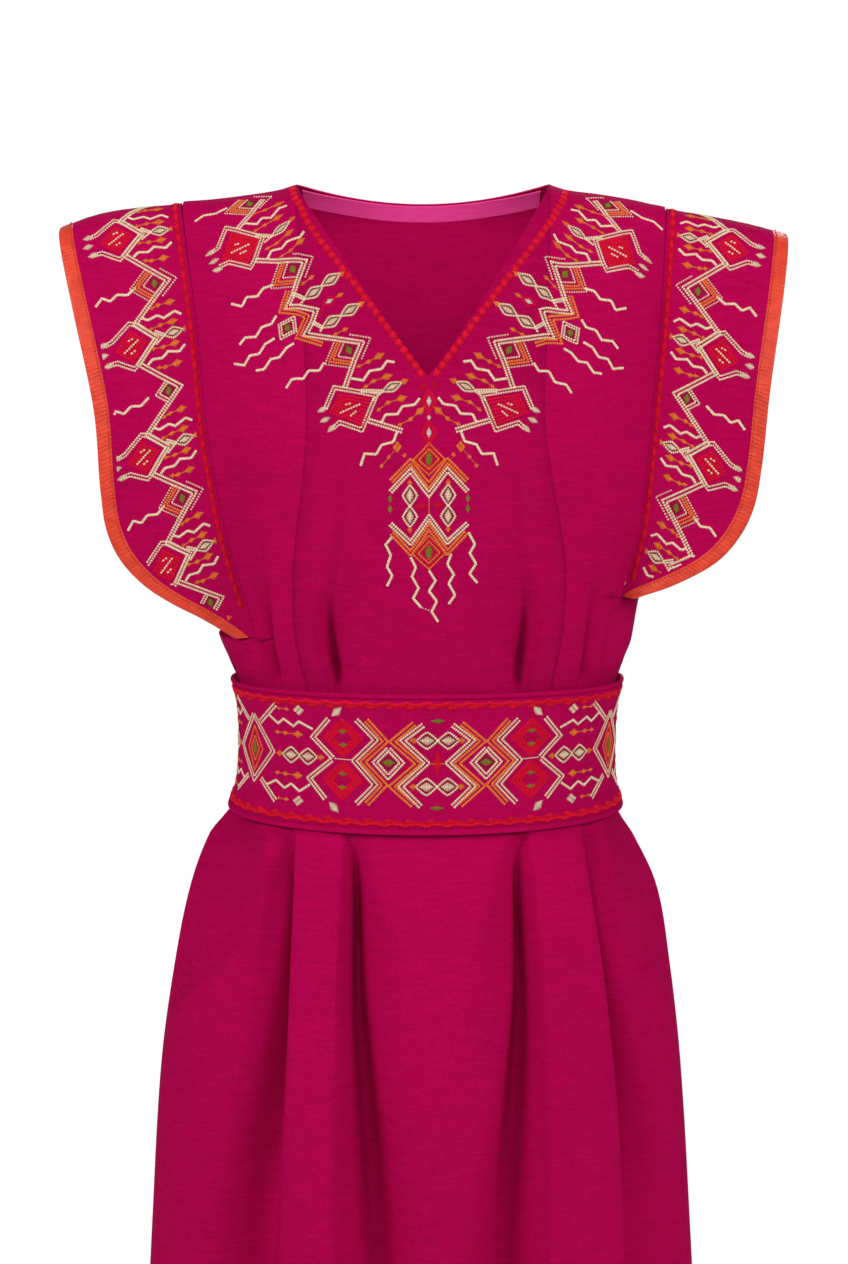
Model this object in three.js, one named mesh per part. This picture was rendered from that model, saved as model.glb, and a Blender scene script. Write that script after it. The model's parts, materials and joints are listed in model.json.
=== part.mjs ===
// A Kabyle dress, ankle length, as it hangs on a wearer who isn't there: front and back bodice,
// front and back skirt with box pleats, two bound wing sleeves, a back neck facing and a wide belt.
// Millimetres, +Z up. The front faces -Y and the wearer's left is +X. The origin is midway between
// the neck ends of the shoulder seams, where the wearer's shoulders hold the dress.
import * as THREE from "three";

// Cloth and seams
const CLOTH = 1.2; // wall of the dress cloth
const SEAM = 0.3; // gap left between two pieces at a seam
const BINDING_WIDE = 12;
const BINDING_THICK = 2.4;
const FACING_THICK = 1;
const FACING_OFF = 0.8; // from the inside of the back panel
const FACING_ROW = 2; // row of the bodice where the facing's lower edge lies, 12.5 mm down

// Heights of the main levels
const WAIST_Z = -444; // the seam under the belt
const HEM_Z = -1350;

// Neck and shoulders
const NECK_HALF = 99; // half the width between the shoulder seams' neck ends
const V_TIP = { x: 4, z: -142 };
const V_BOW = 1.15; // power of the slightly bowed edges of the V
const BACK_NECK_DROP = 14;
// Height of the shoulder line at each distance out from the centre, on the wearer's right and left
const SHOULDER = [
  { out: 96, right: 2.4, left: 3.2 },
  { out: 102, right: 0.6, left: 0.4 },
  { out: 114, right: -3, left: -3 },
  { out: 140, right: -7, left: -6.4 },
  { out: 165, right: -10, left: -10.6 },
  { out: 190, right: -12, left: -16 },
  { out: 230, right: -17, left: -20 },
  { out: 290, right: -33, left: -36 },
];
const SHOULDER_ROUND = 90; // height over which the shoulder turns from level to upright
const SLEEVE_ROUND = 130;
const SLEEVE_BOW = { right: 5, left: 1.8, skew: 1.35, fade: 110 }; // the sleeve's top bows up between its edges
const FRONT_FLATNESS = 0.85; // power that makes a section flatter than an ellipse

// Sections of the dress: half width at the side seams, depth to front and back, and how far the
// section's middle is shifted sideways by the way the dress hangs
const BODY = [
  { z: 20, half: 216, front: 66, back: 80, shift: 0 },
  { z: -60, half: 206, front: 80, back: 92, shift: 0 },
  { z: -130, half: 199, front: 98, back: 101, shift: 0 },
  { z: -200, half: 194, front: 113, back: 104, shift: 0.5 },
  { z: -260, half: 187, front: 117, back: 102, shift: 1 },
  { z: -320, half: 175, front: 113, back: 97, shift: 1.6 },
  { z: -345, half: 170, front: 110, back: 94.5, shift: 2 },
  { z: -360, half: 166, front: 108, back: 93, shift: 2.4 },
  { z: -376, half: 159, front: 106.5, back: 91.5, shift: 3 },
  { z: -388, half: 151.8, front: 105.5, back: 90.5, shift: 3.3 },
  { z: -410, half: 146.8, front: 104.5, back: 89, shift: 3.5 },
  { z: -440, half: 145.4, front: 104, back: 88, shift: 3.2 },
  { z: -470, half: 147, front: 105.5, back: 90, shift: 2.6 },
  { z: -490, half: 153, front: 108, back: 94, shift: 2 },
  { z: -500, half: 159, front: 112, back: 99, shift: 0 },
  { z: -518, half: 172.7, front: 119, back: 108, shift: -1.4 },
  { z: -560, half: 190.2, front: 130, back: 122, shift: 0.4 },
  { z: -622, half: 202.2, front: 140, back: 134, shift: -0.6 },
  { z: -706, half: 213.2, front: 149, back: 143, shift: -1.7 },
  { z: -832, half: 221.7, front: 158, back: 152, shift: -1.8 },
  { z: -1000, half: 231, front: 168, back: 163, shift: -1.5 },
  { z: -1350, half: 248, front: 188, back: 184, shift: 0 },
];

// x of the armhole seam on the wearer's right (-X) and left (+X), the same on front and back
const ARMHOLE = [
  { z: -15, right: 188, left: 190 },
  { z: -110, right: 174, left: 183 },
  { z: -187, right: 167, left: 175.5 },
  { z: -257, right: 156.5, left: 169 },
  { z: -320, right: 144.5, left: 160 },
  { z: -360, right: 138, left: 154 },
];

// Folded edges of the box pleats, x at each height. A pleat lies between its outer and inner edge.
const FRONT_EDGES = [
  { z: -290, rightOuter: -119, rightInner: -81, leftInner: 90.5, leftOuter: 129 },
  { z: -340, rightOuter: -115, rightInner: -80, leftInner: 86.5, leftOuter: 125 },
  { z: -386, rightOuter: -109, rightInner: -71, leftInner: 79.5, leftOuter: 120.5 },
  { z: -496, rightOuter: -100, rightInner: -60.5, leftInner: 80.5, leftOuter: 124 },
  { z: -622, rightOuter: -103, rightInner: -63, leftInner: 90, leftOuter: 141 },
  { z: -750, rightOuter: -108, rightInner: -66, leftInner: 95, leftOuter: 152 },
  { z: -1350, rightOuter: -128, rightInner: -74, leftInner: 108, leftOuter: 172 },
];
const BACK_EDGES = [
  { z: -290, rightOuter: -116, rightInner: -84, leftInner: 84, leftOuter: 118 },
  { z: -386, rightOuter: -108, rightInner: -70, leftInner: 71, leftOuter: 110 },
  { z: -496, rightOuter: -104, rightInner: -64, leftInner: 66, leftOuter: 106 },
  { z: -700, rightOuter: -122, rightInner: -74, leftInner: 78, leftOuter: 126 },
  { z: -1350, rightOuter: -148, rightInner: -84, leftInner: 90, leftOuter: 154 },
];

// A third, smaller fold nearer each side seam: x of its edge, and its depth as a share of the others
const THIRD_FOLD = [
  { z: -300, right: -135, left: 148, share: 0 },
  { z: -345, right: -132, left: 145, share: 0.5 },
  { z: -386, right: -129, left: 139.5, share: 0.6 },
  { z: -496, right: -125, left: 146, share: 0.6 },
  { z: -560, right: -132, left: 162, share: 0.45 },
  { z: -700, right: -150, left: 182, share: 0 },
  { z: -1350, right: -190, left: 214, share: 0 },
];

// Relief of a pleat: how far its panel stands up, how deep the slit beside its edge is, and the
// widths over which the cloth drops into that slit and comes back out of it
const RELIEF = [
  { z: -262, rise: 0, slit: 0, drop: 20, ease: 48 },
  { z: -300, rise: 2.5, slit: 4, drop: 14, ease: 42 },
  { z: -335, rise: 5, slit: 8.5, drop: 8, ease: 30 },
  { z: -365, rise: 4.5, slit: 8, drop: 5, ease: 20 },
  { z: -386, rise: 2, slit: 2.4, drop: 4, ease: 12 },
  { z: -440, rise: 1.6, slit: 0.6, drop: 4, ease: 10 },
  { z: -495, rise: 1.9, slit: 2.4, drop: 4, ease: 12 },
  { z: -515, rise: 5, slit: 10, drop: 4, ease: 22 },
  { z: -560, rise: 7, slit: 14, drop: 5, ease: 40 },
  { z: -640, rise: 8, slit: 14, drop: 7, ease: 58 },
  { z: -760, rise: 8, slit: 12, drop: 18, ease: 72 },
  { z: -1000, rise: 8, slit: 10, drop: 32, ease: 78 },
  { z: -1350, rise: 8, slit: 9, drop: 36, ease: 80 },
];
const CORNER = 2; // extra rounding of a pleat's folded edge
// Below the armhole the front stands proud of the side by this step, at this share of the half width
const SIDE_STEP = { deep: 3, at: 0.86, wide: 0.03, z: -330, fade: 70 };

// Outer edges of the wing sleeves seen from the front
const WING_RIGHT = [
  { x: 285.5, z: -33 },
  { x: 269.5, z: -95 },
  { x: 253.5, z: -171 },
  { x: 249.5, z: -235 },
  { x: 245.5, z: -265 },
  { x: 235.5, z: -288 },
  { x: 217, z: -308.5 },
  { x: 196, z: -322.5 },
  { x: 172, z: -335 },
  { x: 147, z: -350 },
];
const WING_LEFT = [
  { x: 286, z: -37.5 },
  { x: 280, z: -72 },
  { x: 267.5, z: -152 },
  { x: 262, z: -215 },
  { x: 257, z: -246 },
  { x: 247.5, z: -268 },
  { x: 230, z: -289 },
  { x: 195, z: -308.5 },
  { x: 165, z: -318.5 },
];
const WING_DEPTH = 70; // how far the wing stands to front and back of the shoulder
const WING_TAPER = 0.17; // share of that depth lost at its lower tip
const TIP_LENGTH = 15; // the lower end of the wing, along the armhole
const TUCK = 1.2; // the wing starts this much behind the bodice's surface
const WING_SEAM = 1.1; // and this far outside its edge

// Belt
const BELT_THICK = 3;
const BELT_OFF = 3.1; // from the dress section to the belt's inside
const BELT = { top: { front: -386, back: -391 }, bottom: { front: -495, back: -486 } };
const WELT = { wide: 4, proud: 0.9 }; // the rounded edge along the top and bottom
const LAP = { turn: 0.115, rise: 3.5 }; // the belt's end laps over its start at the back

// Rows of the bodice, as drop below the arm end of the shoulder seam
const BODICE_DROPS = [
  0, 3, 12.5, 25, 44, 66, 90, 120, 151, 183, 215, 247, 275, 302.5, 306, 334, 338, 350, 361, 374, 400,
];
const ARM_TOP_Z = ARMHOLE[0].z;
const ARMHOLE_END_ROW = { right: 15, left: 13 };
const SKIRT_DROPS = [0, 36, 50, 60, 72, 88, 112, 150, 205, 285, 390, 520, 700, 905.7];
const COLUMNS = 32;

// Plain helpers
const clamp = (v, low, high) => Math.min(high, Math.max(low, v));
const mix = (a, b, t) => a + (b - a) * t;
const smooth = (from, to, v) => {
  const t = clamp((v - from) / (to - from), 0, 1);
  return t * t * (3 - 2 * t);
};

// Value of a table's column where its key is at, along smooth cubic pieces through the rows
function read(table, column, at, key = "z") {
  const down = table[0][key] > table[table.length - 1][key] ? 1 : -1;
  let i = 0;
  while (i < table.length - 2 && (table[i + 1][key] - at) * down > 0) i++;
  const slope = (k) => {
    const a = table[Math.max(k - 1, 0)];
    const b = table[Math.min(k + 1, table.length - 1)];
    return (b[column] - a[column]) / (b[key] - a[key]);
  };
  const [a, b] = [table[i], table[i + 1]];
  const span = b[key] - a[key];
  const t = clamp((at - a[key]) / span, 0, 1);
  const [t2, t3] = [t * t, t * t * t];
  return (
    a[column] * (2 * t3 - 3 * t2 + 1) +
    b[column] * (3 * t2 - 2 * t3) +
    slope(i) * span * (t3 - 2 * t2 + t) +
    slope(i + 1) * span * (t3 - t2)
  );
}

const sideName = (x) => (x < 0 ? "right" : "left");
const shoulderZ = (x) => read(SHOULDER, sideName(x), Math.abs(x), "out");
// Share of the full depth at a drop below the shoulder line: a quarter circle, then 1
const arch = (drop, round) => Math.sqrt(1 - Math.pow(1 - clamp(drop / round, 0, 1), 2));

// How far the cloth lies beside one folded edge: q is the distance outwards from the edge
function beside(q, relief) {
  const corner = CORNER + relief.drop / 4;
  const down = smooth(-corner, relief.drop, q);
  const back = smooth(relief.drop, relief.drop + relief.ease, q);
  return { down, slit: relief.slit * down * (1 - back) };
}

const reliefAt = (z) => {
  const row = {};
  for (const key of ["rise", "slit", "drop", "ease"]) row[key] = read(RELIEF, key, z);
  return row;
};

// Outward relief of the cloth at x and z on the front or back
function pleatRelief(face, x, z) {
  const edges = face < 0 ? FRONT_EDGES : BACK_EDGES;
  const relief = reliefAt(z);
  let out = 0;
  for (const [side, inner, outer] of [[-1, "rightInner", "rightOuter"], [1, "leftInner", "leftOuter"]]) {
    const toCentre = beside(side * (read(edges, inner, z) - x), relief);
    const toSide = beside(side * (x - read(edges, outer, z)), relief);
    out += relief.rise * (1 - toCentre.down) * (1 - toSide.down) - toCentre.slit - toSide.slit;
    const third = beside(side * (x - read(THIRD_FOLD, sideName(side), z)), relief);
    out -= read(THIRD_FOLD, "share", z) * third.slit;
  }
  return out;
}

// The step where the front stands proud of the side below the armhole
function sideStep(x, z, half) {
  const below = smooth(SIDE_STEP.z + SIDE_STEP.fade, SIDE_STEP.z, z) * smooth(-392, -366, z);
  const out = smooth(SIDE_STEP.at, SIDE_STEP.at + SIDE_STEP.wide, Math.abs(x) / half);
  return -SIDE_STEP.deep * below * out;
}

// Point of the dress on its front (face -1) or back (face 1). angle is 0 at the centre and
// 90 degrees at a side seam.
function dressPoint(face, angle, z) {
  const half = read(BODY, "half", z);
  const deep = read(BODY, face < 0 ? "front" : "back", z);
  const x = read(BODY, "shift", z) + half * Math.sin(angle);
  const level = arch(shoulderZ(x) - z, SHOULDER_ROUND);
  const y = face * deep * Math.pow(Math.max(Math.cos(angle), 0), FRONT_FLATNESS) * level;
  const out = pleatRelief(face, x, z) + sideStep(x, z, half);
  const away = new THREE.Vector2(Math.sin(angle) / half, (face * Math.cos(angle)) / deep).normalize();
  return new THREE.Vector3(x + away.x * out, y + away.y * out, z);
}

// Outward normal of the dress at the same place, from two short steps on its surface
function dressNormal(face, angle, z) {
  const turn = 0.004;
  const step = 0.4;
  const top = shoulderZ(read(BODY, "shift", z) + read(BODY, "half", z) * Math.sin(angle));
  const upper = Math.min(z + step, top - 1e-3);
  const across = dressPoint(face, angle + turn, z).sub(dressPoint(face, angle - turn, z));
  const up = dressPoint(face, angle, upper).sub(dressPoint(face, angle, upper - 2 * step));
  const normal = across.cross(up).normalize();
  return face < 0 ? normal : normal.negate();
}

// The angle at a distance out from x = 0 on one side
const sideAngle = (side, out, z) => side * angleAt(side * out, z);
const angleAt = (x, z) => Math.asin(clamp((x - read(BODY, "shift", z)) / read(BODY, "half", z), -1, 1));

// A closed wall between an outer grid of points and the same grid moved in by a thickness
function wall(points, inners) {
  const rows = points.length;
  const cols = points[0].length;
  const at = (i, j) => i * cols + j;
  const inner = rows * cols;
  const faces = [];
  const quad = (a, b, c, d) => faces.push(a, b, c, a, c, d);
  for (let i = 0; i < rows - 1; i++) {
    for (let j = 0; j < cols - 1; j++) {
      // both layers are split along the same diagonal, so that they stay a wall apart in a twisted cell
      const [a, b, c, d] = [at(i, j), at(i + 1, j), at(i + 1, j + 1), at(i, j + 1)];
      quad(a, b, c, d);
      quad(a + inner, d + inner, c + inner, b + inner);
    }
  }
  const rim = [];
  for (let j = 0; j < cols - 1; j++) rim.push(at(0, j));
  for (let i = 0; i < rows - 1; i++) rim.push(at(i, cols - 1));
  for (let j = cols - 1; j > 0; j--) rim.push(at(rows - 1, j));
  for (let i = rows - 1; i > 0; i--) rim.push(at(i, 0));
  rim.forEach((a, k) => {
    const b = rim[(k + 1) % rim.length];
    quad(a, b, b + inner, a + inner);
  });
  return closedGeometry([...points.flat(), ...inners.flat()], faces);
}

// A geometry whose faces point out, whichever way round its grid ran
function closedGeometry(points, faces) {
  let volume = 0;
  for (let k = 0; k < faces.length; k += 3) {
    const [a, b, c] = [points[faces[k]], points[faces[k + 1]], points[faces[k + 2]]];
    volume += a.dot(b.clone().cross(c));
  }
  if (volume < 0) faces.reverse();
  const geometry = new THREE.BufferGeometry().setFromPoints(points);
  geometry.setIndex(faces);
  geometry.computeVertexNormals();
  return geometry;
}

const moved = (point, normal, by) => point.clone().addScaledVector(normal, by);

// Angles of the grid's columns at height z: four columns follow each folded edge of the pleats
function columnAngles(face, z, edgeAngles) {
  const edges = face < 0 ? FRONT_EDGES : BACK_EDGES;
  const relief = reliefAt(z);
  const corner = CORNER + relief.drop / 4;
  const steps = [relief.drop + relief.ease / 3, relief.drop, relief.drop / 2, -corner];
  const angles = new Array(COLUMNS + 1);
  for (const [side, inner, outer] of [[-1, "rightInner", "rightOuter"], [1, "leftInner", "leftOuter"]]) {
    const column = (k) => (side < 0 ? k : COLUMNS - k);
    const innerX = side * read(edges, inner, z);
    const outerX = side * read(edges, outer, z);
    const middleX = (innerX + outerX) / 2;
    const seamAngle = edgeAngles[sideName(side)];
    const seamX = side * (read(BODY, "shift", z) + side * read(BODY, "half", z) * Math.sin(seamAngle));
    const set = (k, x) => (angles[column(k)] = side * sideAngle(side, x, z));
    const squeeze = Math.min(1, (seamX - 16 - outerX) / steps[0]);
    steps.forEach((q, k) => set(4 + k, outerX + Math.max(q > 0 ? q * squeeze : q, (middleX - outerX) * 0.8)));
    set(8, middleX);
    steps.forEach((q, k) => set(12 - k, innerX - Math.max(q, (innerX - middleX) * 0.8)));
    for (let k = 13; k < 16; k++) set(k, ((innerX - steps[0]) * (16 - k)) / 4);
    const fourth = outerX + steps[0] * squeeze;
    const third = clamp(side * read(THIRD_FOLD, sideName(side), z), fourth + 6, seamX - 9);
    set(3, (fourth + third) / 2);
    set(2, third - Math.min(corner, (third - fourth) / 4));
    set(1, third + Math.min(relief.drop, (seamX - third) / 2));
    angles[column(0)] = side * seamAngle;
    // away from the third fold these columns are evenly spaced
    const follow = smooth(0, 0.4, read(THIRD_FOLD, "share", z));
    for (let k = 1; k < 4; k++) {
      const even = mix(angles[column(0)], angles[column(4)], k / 4);
      angles[column(k)] = mix(even, angles[column(k)], follow);
    }
  }
  angles[COLUMNS / 2] = 0;
  return angles;
}

// x of each column along the neck and shoulders
function topX(column) {
  const middle = COLUMNS / 2;
  const knots = [
    [0, -ARMHOLE[0].right],
    [middle / 2, -NECK_HALF],
    [middle, V_TIP.x],
    [(middle * 3) / 2, NECK_HALF],
    [COLUMNS, ARMHOLE[0].left],
  ];
  const k = knots.findIndex(([at], i) => i + 1 === knots.length - 1 || column <= knots[i + 1][0]);
  const [[a, xa], [b, xb]] = [knots[k], knots[k + 1]];
  return mix(xa, xb, (column - a) / (b - a));
}

function neckZ(face, x) {
  if (Math.abs(x) >= NECK_HALF - 1e-6) return shoulderZ(x);
  const end = shoulderZ(NECK_HALF);
  if (face > 0) return mix(-BACK_NECK_DROP, end, Math.pow(Math.abs(x) / NECK_HALF, 2));
  const run = x < V_TIP.x ? V_TIP.x + NECK_HALF : NECK_HALF - V_TIP.x;
  return mix(V_TIP.z, end, Math.pow(Math.abs(x - V_TIP.x) / run, V_BOW));
}

const rowShare = (i) => BODICE_DROPS[i] / (ARM_TOP_Z - WAIST_Z - SEAM / 2);

// Angle and height of the bodice's grid at row i and column j
function bodicePlace(face, i, j) {
  const x = topX(j);
  const z = mix(neckZ(face, x), WAIST_Z + SEAM / 2, i === BODICE_DROPS.length ? 1 : rowShare(i));
  const edgeAngle = (side) => {
    if (i > ARMHOLE_END_ROW[side]) return Math.acos(SEAM / 2 / (0.98 * read(BODY, "half", z)));
    return angleAt(read(ARMHOLE, side, z), z);
  };
  const edge = { right: Math.abs(edgeAngle("right")), left: Math.abs(edgeAngle("left")) };
  const low = columnAngles(face, z, edge)[j];
  const wide = read(ARMHOLE, sideName(x), z) / ARMHOLE[0][sideName(x)];
  const high = angleAt(x * wide, z);
  const atEdge = j === 0 || j === COLUMNS;
  return { angle: atEdge ? low : mix(low, high, smooth(-300, -150, z)), z };
}

function bodiceGrids(face) {
  const points = [];
  const inners = [];
  const normalRows = [];
  for (let i = 0; i <= BODICE_DROPS.length; i++) {
    const places = Array.from({ length: COLUMNS + 1 }, (_, j) => bodicePlace(face, i, j));
    const row = places.map(({ angle, z }) => dressPoint(face, angle, z));
    const normals = places.map(({ angle, z }) => dressNormal(face, angle, z));
    row.forEach((p, j) => {
      const onShoulder = i === 0 && Math.abs(topX(j)) >= NECK_HALF;
      const onSide = i > 0 && (j === 0 || j === COLUMNS) && Math.abs(p.y) < 1;
      // the shoulder seam's gap: the top row starts a little off the ridge
      if (onShoulder) p.y += (face * SEAM) / 2;
      if (onShoulder || onSide) normals[j].setY(0).normalize();
    });
    points.push(row);
    inners.push(row.map((p, j) => moved(p, normals[j], -CLOTH)));
    normalRows.push(normals);
  }
  return { points, inners, normalRows };
}

function skirt(face) {
  const points = [];
  const inners = [];
  for (const drop of SKIRT_DROPS) {
    const z = WAIST_Z - SEAM / 2 - drop;
    const side = Math.acos(SEAM / 2 / (0.98 * read(BODY, "half", z)));
    const angles = columnAngles(face, z, { right: side, left: side });
    const row = angles.map((angle) => dressPoint(face, angle, z));
    const normals = angles.map((angle) => dressNormal(face, angle, z));
    for (const edge of [0, COLUMNS]) normals[edge].setY(0).normalize();
    points.push(row);
    inners.push(row.map((p, j) => moved(p, normals[j], -CLOTH)));
  }
  return wall(points, inners);
}

// A station of the sleeve at row i of the bodice, or midway between two rows, so that the two
// edges of the armhole seam match
function sleeveRow(side, face, i) {
  const end = ARMHOLE_END_ROW[side];
  const wing = side === "right" ? WING_RIGHT : WING_LEFT;
  const sign = side === "right" ? -1 : 1;
  const seamPoint = (row) => {
    const { angle, z } = bodicePlace(face, row, side === "right" ? 0 : COLUMNS);
    const point = dressPoint(face, angle, z);
    if (row === 0) point.y = 0;
    const inward = row === 0 ? new THREE.Vector3(0, 0, -1) : dressNormal(face, angle, z).negate();
    point.x += sign * WING_SEAM;
    return moved(point, inward, TUCK);
  };
  const inner = seamPoint(Math.floor(i)).lerp(seamPoint(Math.ceil(i)), i % 1);
  if (i === end) inner.lerp(seamPoint(i - 1), TIP_LENGTH / inner.distanceTo(seamPoint(i - 1)));
  const shape = new THREE.CatmullRomCurve3(wing.map(({ x, z }) => new THREE.Vector3(x, 0, z)), false, "centripetal");
  shape.arcLengthDivisions = 400;
  const dropped = mix(BODICE_DROPS[Math.floor(i)], BODICE_DROPS[Math.ceil(i)], i % 1);
  const outer = shape.getPointAt(dropped / BODICE_DROPS[end]);
  const taper = 1 - WING_TAPER * smooth(wing[2].z, wing[wing.length - 1].z, outer.z);
  const drop = wing[0].z - outer.z;
  outer.set(sign * outer.x, face * WING_DEPTH * taper * arch(drop, SLEEVE_ROUND), outer.z);
  return { inner, outer, bow: SLEEVE_BOW[side] * (1 - smooth(0, SLEEVE_BOW.fade, drop)) };
}

// Stations round a sleeve: up its front from the lower tip, over the shoulder and down its back
function sleeveStations(side) {
  const end = ARMHOLE_END_ROW[side];
  const rows = [];
  for (let i = 1; i <= end; i++) {
    const near = BODICE_DROPS[i] - BODICE_DROPS[i - 1] < 10;
    if (i > HALF_ROWS_FROM && i < end && !near) rows.push(i - 0.5);
    if (i === end || !near || i < HALF_ROWS_FROM) rows.push(i);
  }
  const front = rows.map((i) => sleeveRow(side, -1, i)).reverse();
  const back = rows.map((i) => sleeveRow(side, 1, i));
  const stations = [...front, sleeveRow(side, 1, 0), ...back];
  const normals = stripNormals(stations, side);
  stations.forEach((station, k) => {
    const across = station.outer.clone().sub(station.inner);
    station.width = across.length();
    station.normal = normals[k];
    station.across = across.normalize();
  });
  return stations;
}

// Point of the sleeve at a distance out from the armhole seam, bowed up along its top
function acrossSleeve(station, distance) {
  const share = clamp(distance / station.width, 0, 1);
  const bow = station.bow * Math.sin(Math.PI * Math.pow(share, SLEEVE_BOW.skew));
  return moved(moved(station.inner, station.across, distance), station.normal, bow);
}

// Outward normals at the stations of a strip that runs between two lists of points
function stripNormals(stations, side) {
  return stations.map(({ inner, outer }, k) => {
    const before = stations[Math.max(k - 1, 0)];
    const after = stations[Math.min(k + 1, stations.length - 1)];
    const middle = (s) => s.inner.clone().add(s.outer);
    const along = middle(after).sub(middle(before));
    const across = outer.clone().sub(inner);
    const normal = across.cross(along).normalize();
    return side === "right" ? normal.negate() : normal;
  });
}

const SLEEVE_COLUMNS = 5;
const HALF_ROWS_FROM = 8;

function sleeve(side) {
  const stations = sleeveStations(side);
  const points = stations.map((station) => {
    const to = station.width - BINDING_WIDE - SEAM;
    return Array.from({ length: SLEEVE_COLUMNS + 1 }, (_, j) =>
      acrossSleeve(station, (to * j) / SLEEVE_COLUMNS),
    );
  });
  const inners = points.map((row, k) => row.map((p) => moved(p, stations[k].normal, -CLOTH)));
  return wall(points, inners);
}

// The satin binding: a flattened rounded section carried round the sleeve's outer edge
function binding(side) {
  const SECTION = 8;
  const rings = sleeveStations(side).map((station) => {
    const { normal } = station;
    const innerEdge = acrossSleeve(station, station.width - BINDING_WIDE);
    const outerEdge = acrossSleeve(station, station.width);
    const across = outerEdge.clone().sub(innerEdge).normalize();
    const centre = moved(innerEdge.lerp(outerEdge, 0.5), normal, -CLOTH / 2);
    return Array.from({ length: SECTION }, (_, s) => {
      const turn = ((s + 0.5) / SECTION) * 2 * Math.PI;
      const [c, d] = [Math.cos(turn), Math.sin(turn)];
      const wide = (Math.sign(c) * Math.sqrt(Math.abs(c)) * BINDING_WIDE) / 2;
      const thick = (Math.sign(d) * Math.sqrt(Math.abs(d)) * BINDING_THICK) / 2;
      return moved(moved(centre, across, wide), normal, thick);
    });
  });
  return tube(rings);
}

// A closed solid through rings of points, with flat ends
function tube(rings) {
  const n = rings[0].length;
  const faces = [];
  for (let k = 0; k < rings.length - 1; k++) {
    for (let s = 0; s < n; s++) {
      const [a, b] = [k * n + s, k * n + ((s + 1) % n)];
      faces.push(a, b, b + n, a, b + n, a + n);
    }
  }
  const last = (rings.length - 1) * n;
  for (let s = 1; s < n - 1; s++) {
    faces.push(0, s + 1, s);
    faces.push(last, last + s, last + s + 1);
  }
  return closedGeometry(rings.flat(), faces);
}

// The band inside the back neckline, from the back panel's own inside points moved in
function backNeckFacing(back) {
  const quarter = COLUMNS / 4;
  const outer = [];
  const inner = [];
  for (const i of [0, 1, FACING_ROW]) {
    outer.push([]);
    inner.push([]);
    for (let j = quarter; j <= 3 * quarter; j++) {
      // the two ends and the upper edge stay a little short of the shoulder seam and the fold
      const nextJ = j === quarter ? j + 1 : j - 1;
      const shareJ = j === quarter || j === 3 * quarter ? 0.3 : 0;
      const shareI = i === 0 ? 0.2 : 0;
      const at = (grid) =>
        grid[i][j].clone().lerp(grid[i][nextJ], shareJ).lerp(grid[i + 1][j].clone().lerp(grid[i + 1][nextJ], shareJ), shareI);
      const point = at(back.inners);
      const normal = at(back.normalRows).normalize();
      const fromEnd = Math.min(j - quarter, 3 * quarter - j);
      const off = FACING_OFF + 0.5 * Math.max(0, 2 - fromEnd);
      outer[outer.length - 1].push(moved(point, normal, -off));
      inner[inner.length - 1].push(moved(point, normal, -off - FACING_THICK));
    }
  }
  return wall(outer, inner);
}

// The belt: a band round the waist from the centre back, whose end laps over its start
function belt() {
  const STEPS = 64;
  const levels = [0, WELT.wide, 18, 53, 88, 106 - WELT.wide, 106].map((d) => d / 106);
  const proud = levels.map((_, k) => (k === 0 || k === levels.length - 1 ? 0.4 : 1) * WELT.proud);
  const isWelt = (k) => k < 2 || k > levels.length - 3;
  const section = (turn, z, off) => {
    const angle = turn * 2 * Math.PI; // 0 at the centre back, round by the wearer's left
    const face = Math.cos(angle) > 0 ? 1 : -1;
    const half = read(BODY, "half", z);
    const deep = read(BODY, face < 0 ? "front" : "back", z);
    const flat = Math.pow(Math.abs(Math.cos(angle)), FRONT_FLATNESS);
    const away = new THREE.Vector2(Math.sin(angle) / half, Math.cos(angle) / deep).normalize();
    const x = read(BODY, "shift", z) + half * Math.sin(angle);
    return new THREE.Vector3(x + away.x * off, face * deep * flat + away.y * off, z);
  };
  const outer = [];
  const inner = [];
  const from = -LAP.turn / 2;
  const to = 1 + LAP.turn / 2;
  for (let k = 0; k <= STEPS; k++) {
    const turn = mix(from, to, k / STEPS);
    const front = (1 - Math.cos(turn * 2 * Math.PI)) / 2;
    const top = mix(BELT.top.back, BELT.top.front, front);
    const bottom = mix(BELT.bottom.back, BELT.bottom.front, front);
    const lap = LAP.rise * smooth(to - 1.9 * LAP.turn, to - LAP.turn, turn);
    const zs = levels.map((share) => mix(top, bottom, share));
    inner.push(zs.map((z) => section(turn, z, BELT_OFF + lap)));
    outer.push(zs.map((z, m) => section(turn, z, BELT_OFF + lap + BELT_THICK + (isWelt(m) ? proud[m] - WELT.proud : 0))));
  }
  return wall(outer, inner);
}

const MAGENTA = new THREE.MeshStandardMaterial({ color: 0xa8064a, roughness: 0.85, metalness: 0 });
const MAGENTA_FACING = new THREE.MeshStandardMaterial({ color: 0xc02468, roughness: 0.7, metalness: 0 });
const ORANGE_SATIN = new THREE.MeshStandardMaterial({ color: 0xd8401c, roughness: 0.45, metalness: 0 });

const dress = new THREE.Group();
function add(name, geometry, material) {
  const mesh = new THREE.Mesh(geometry, material);
  mesh.name = name;
  dress.add(mesh);
}

const front = bodiceGrids(-1);
const back = bodiceGrids(1);
add("front_bodice", wall(front.points, front.inners), MAGENTA);
add("back_bodice", wall(back.points, back.inners), MAGENTA);
add("front_skirt", skirt(-1), MAGENTA);
add("back_skirt", skirt(1), MAGENTA);
for (const side of ["right", "left"]) {
  add(`${side}_sleeve`, sleeve(side), MAGENTA);
  add(`${side}_sleeve_binding`, binding(side), ORANGE_SATIN);
}
add("back_neck_facing", backNeckFacing(back), MAGENTA_FACING);
add("belt", belt(), MAGENTA);

export default dress;
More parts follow.
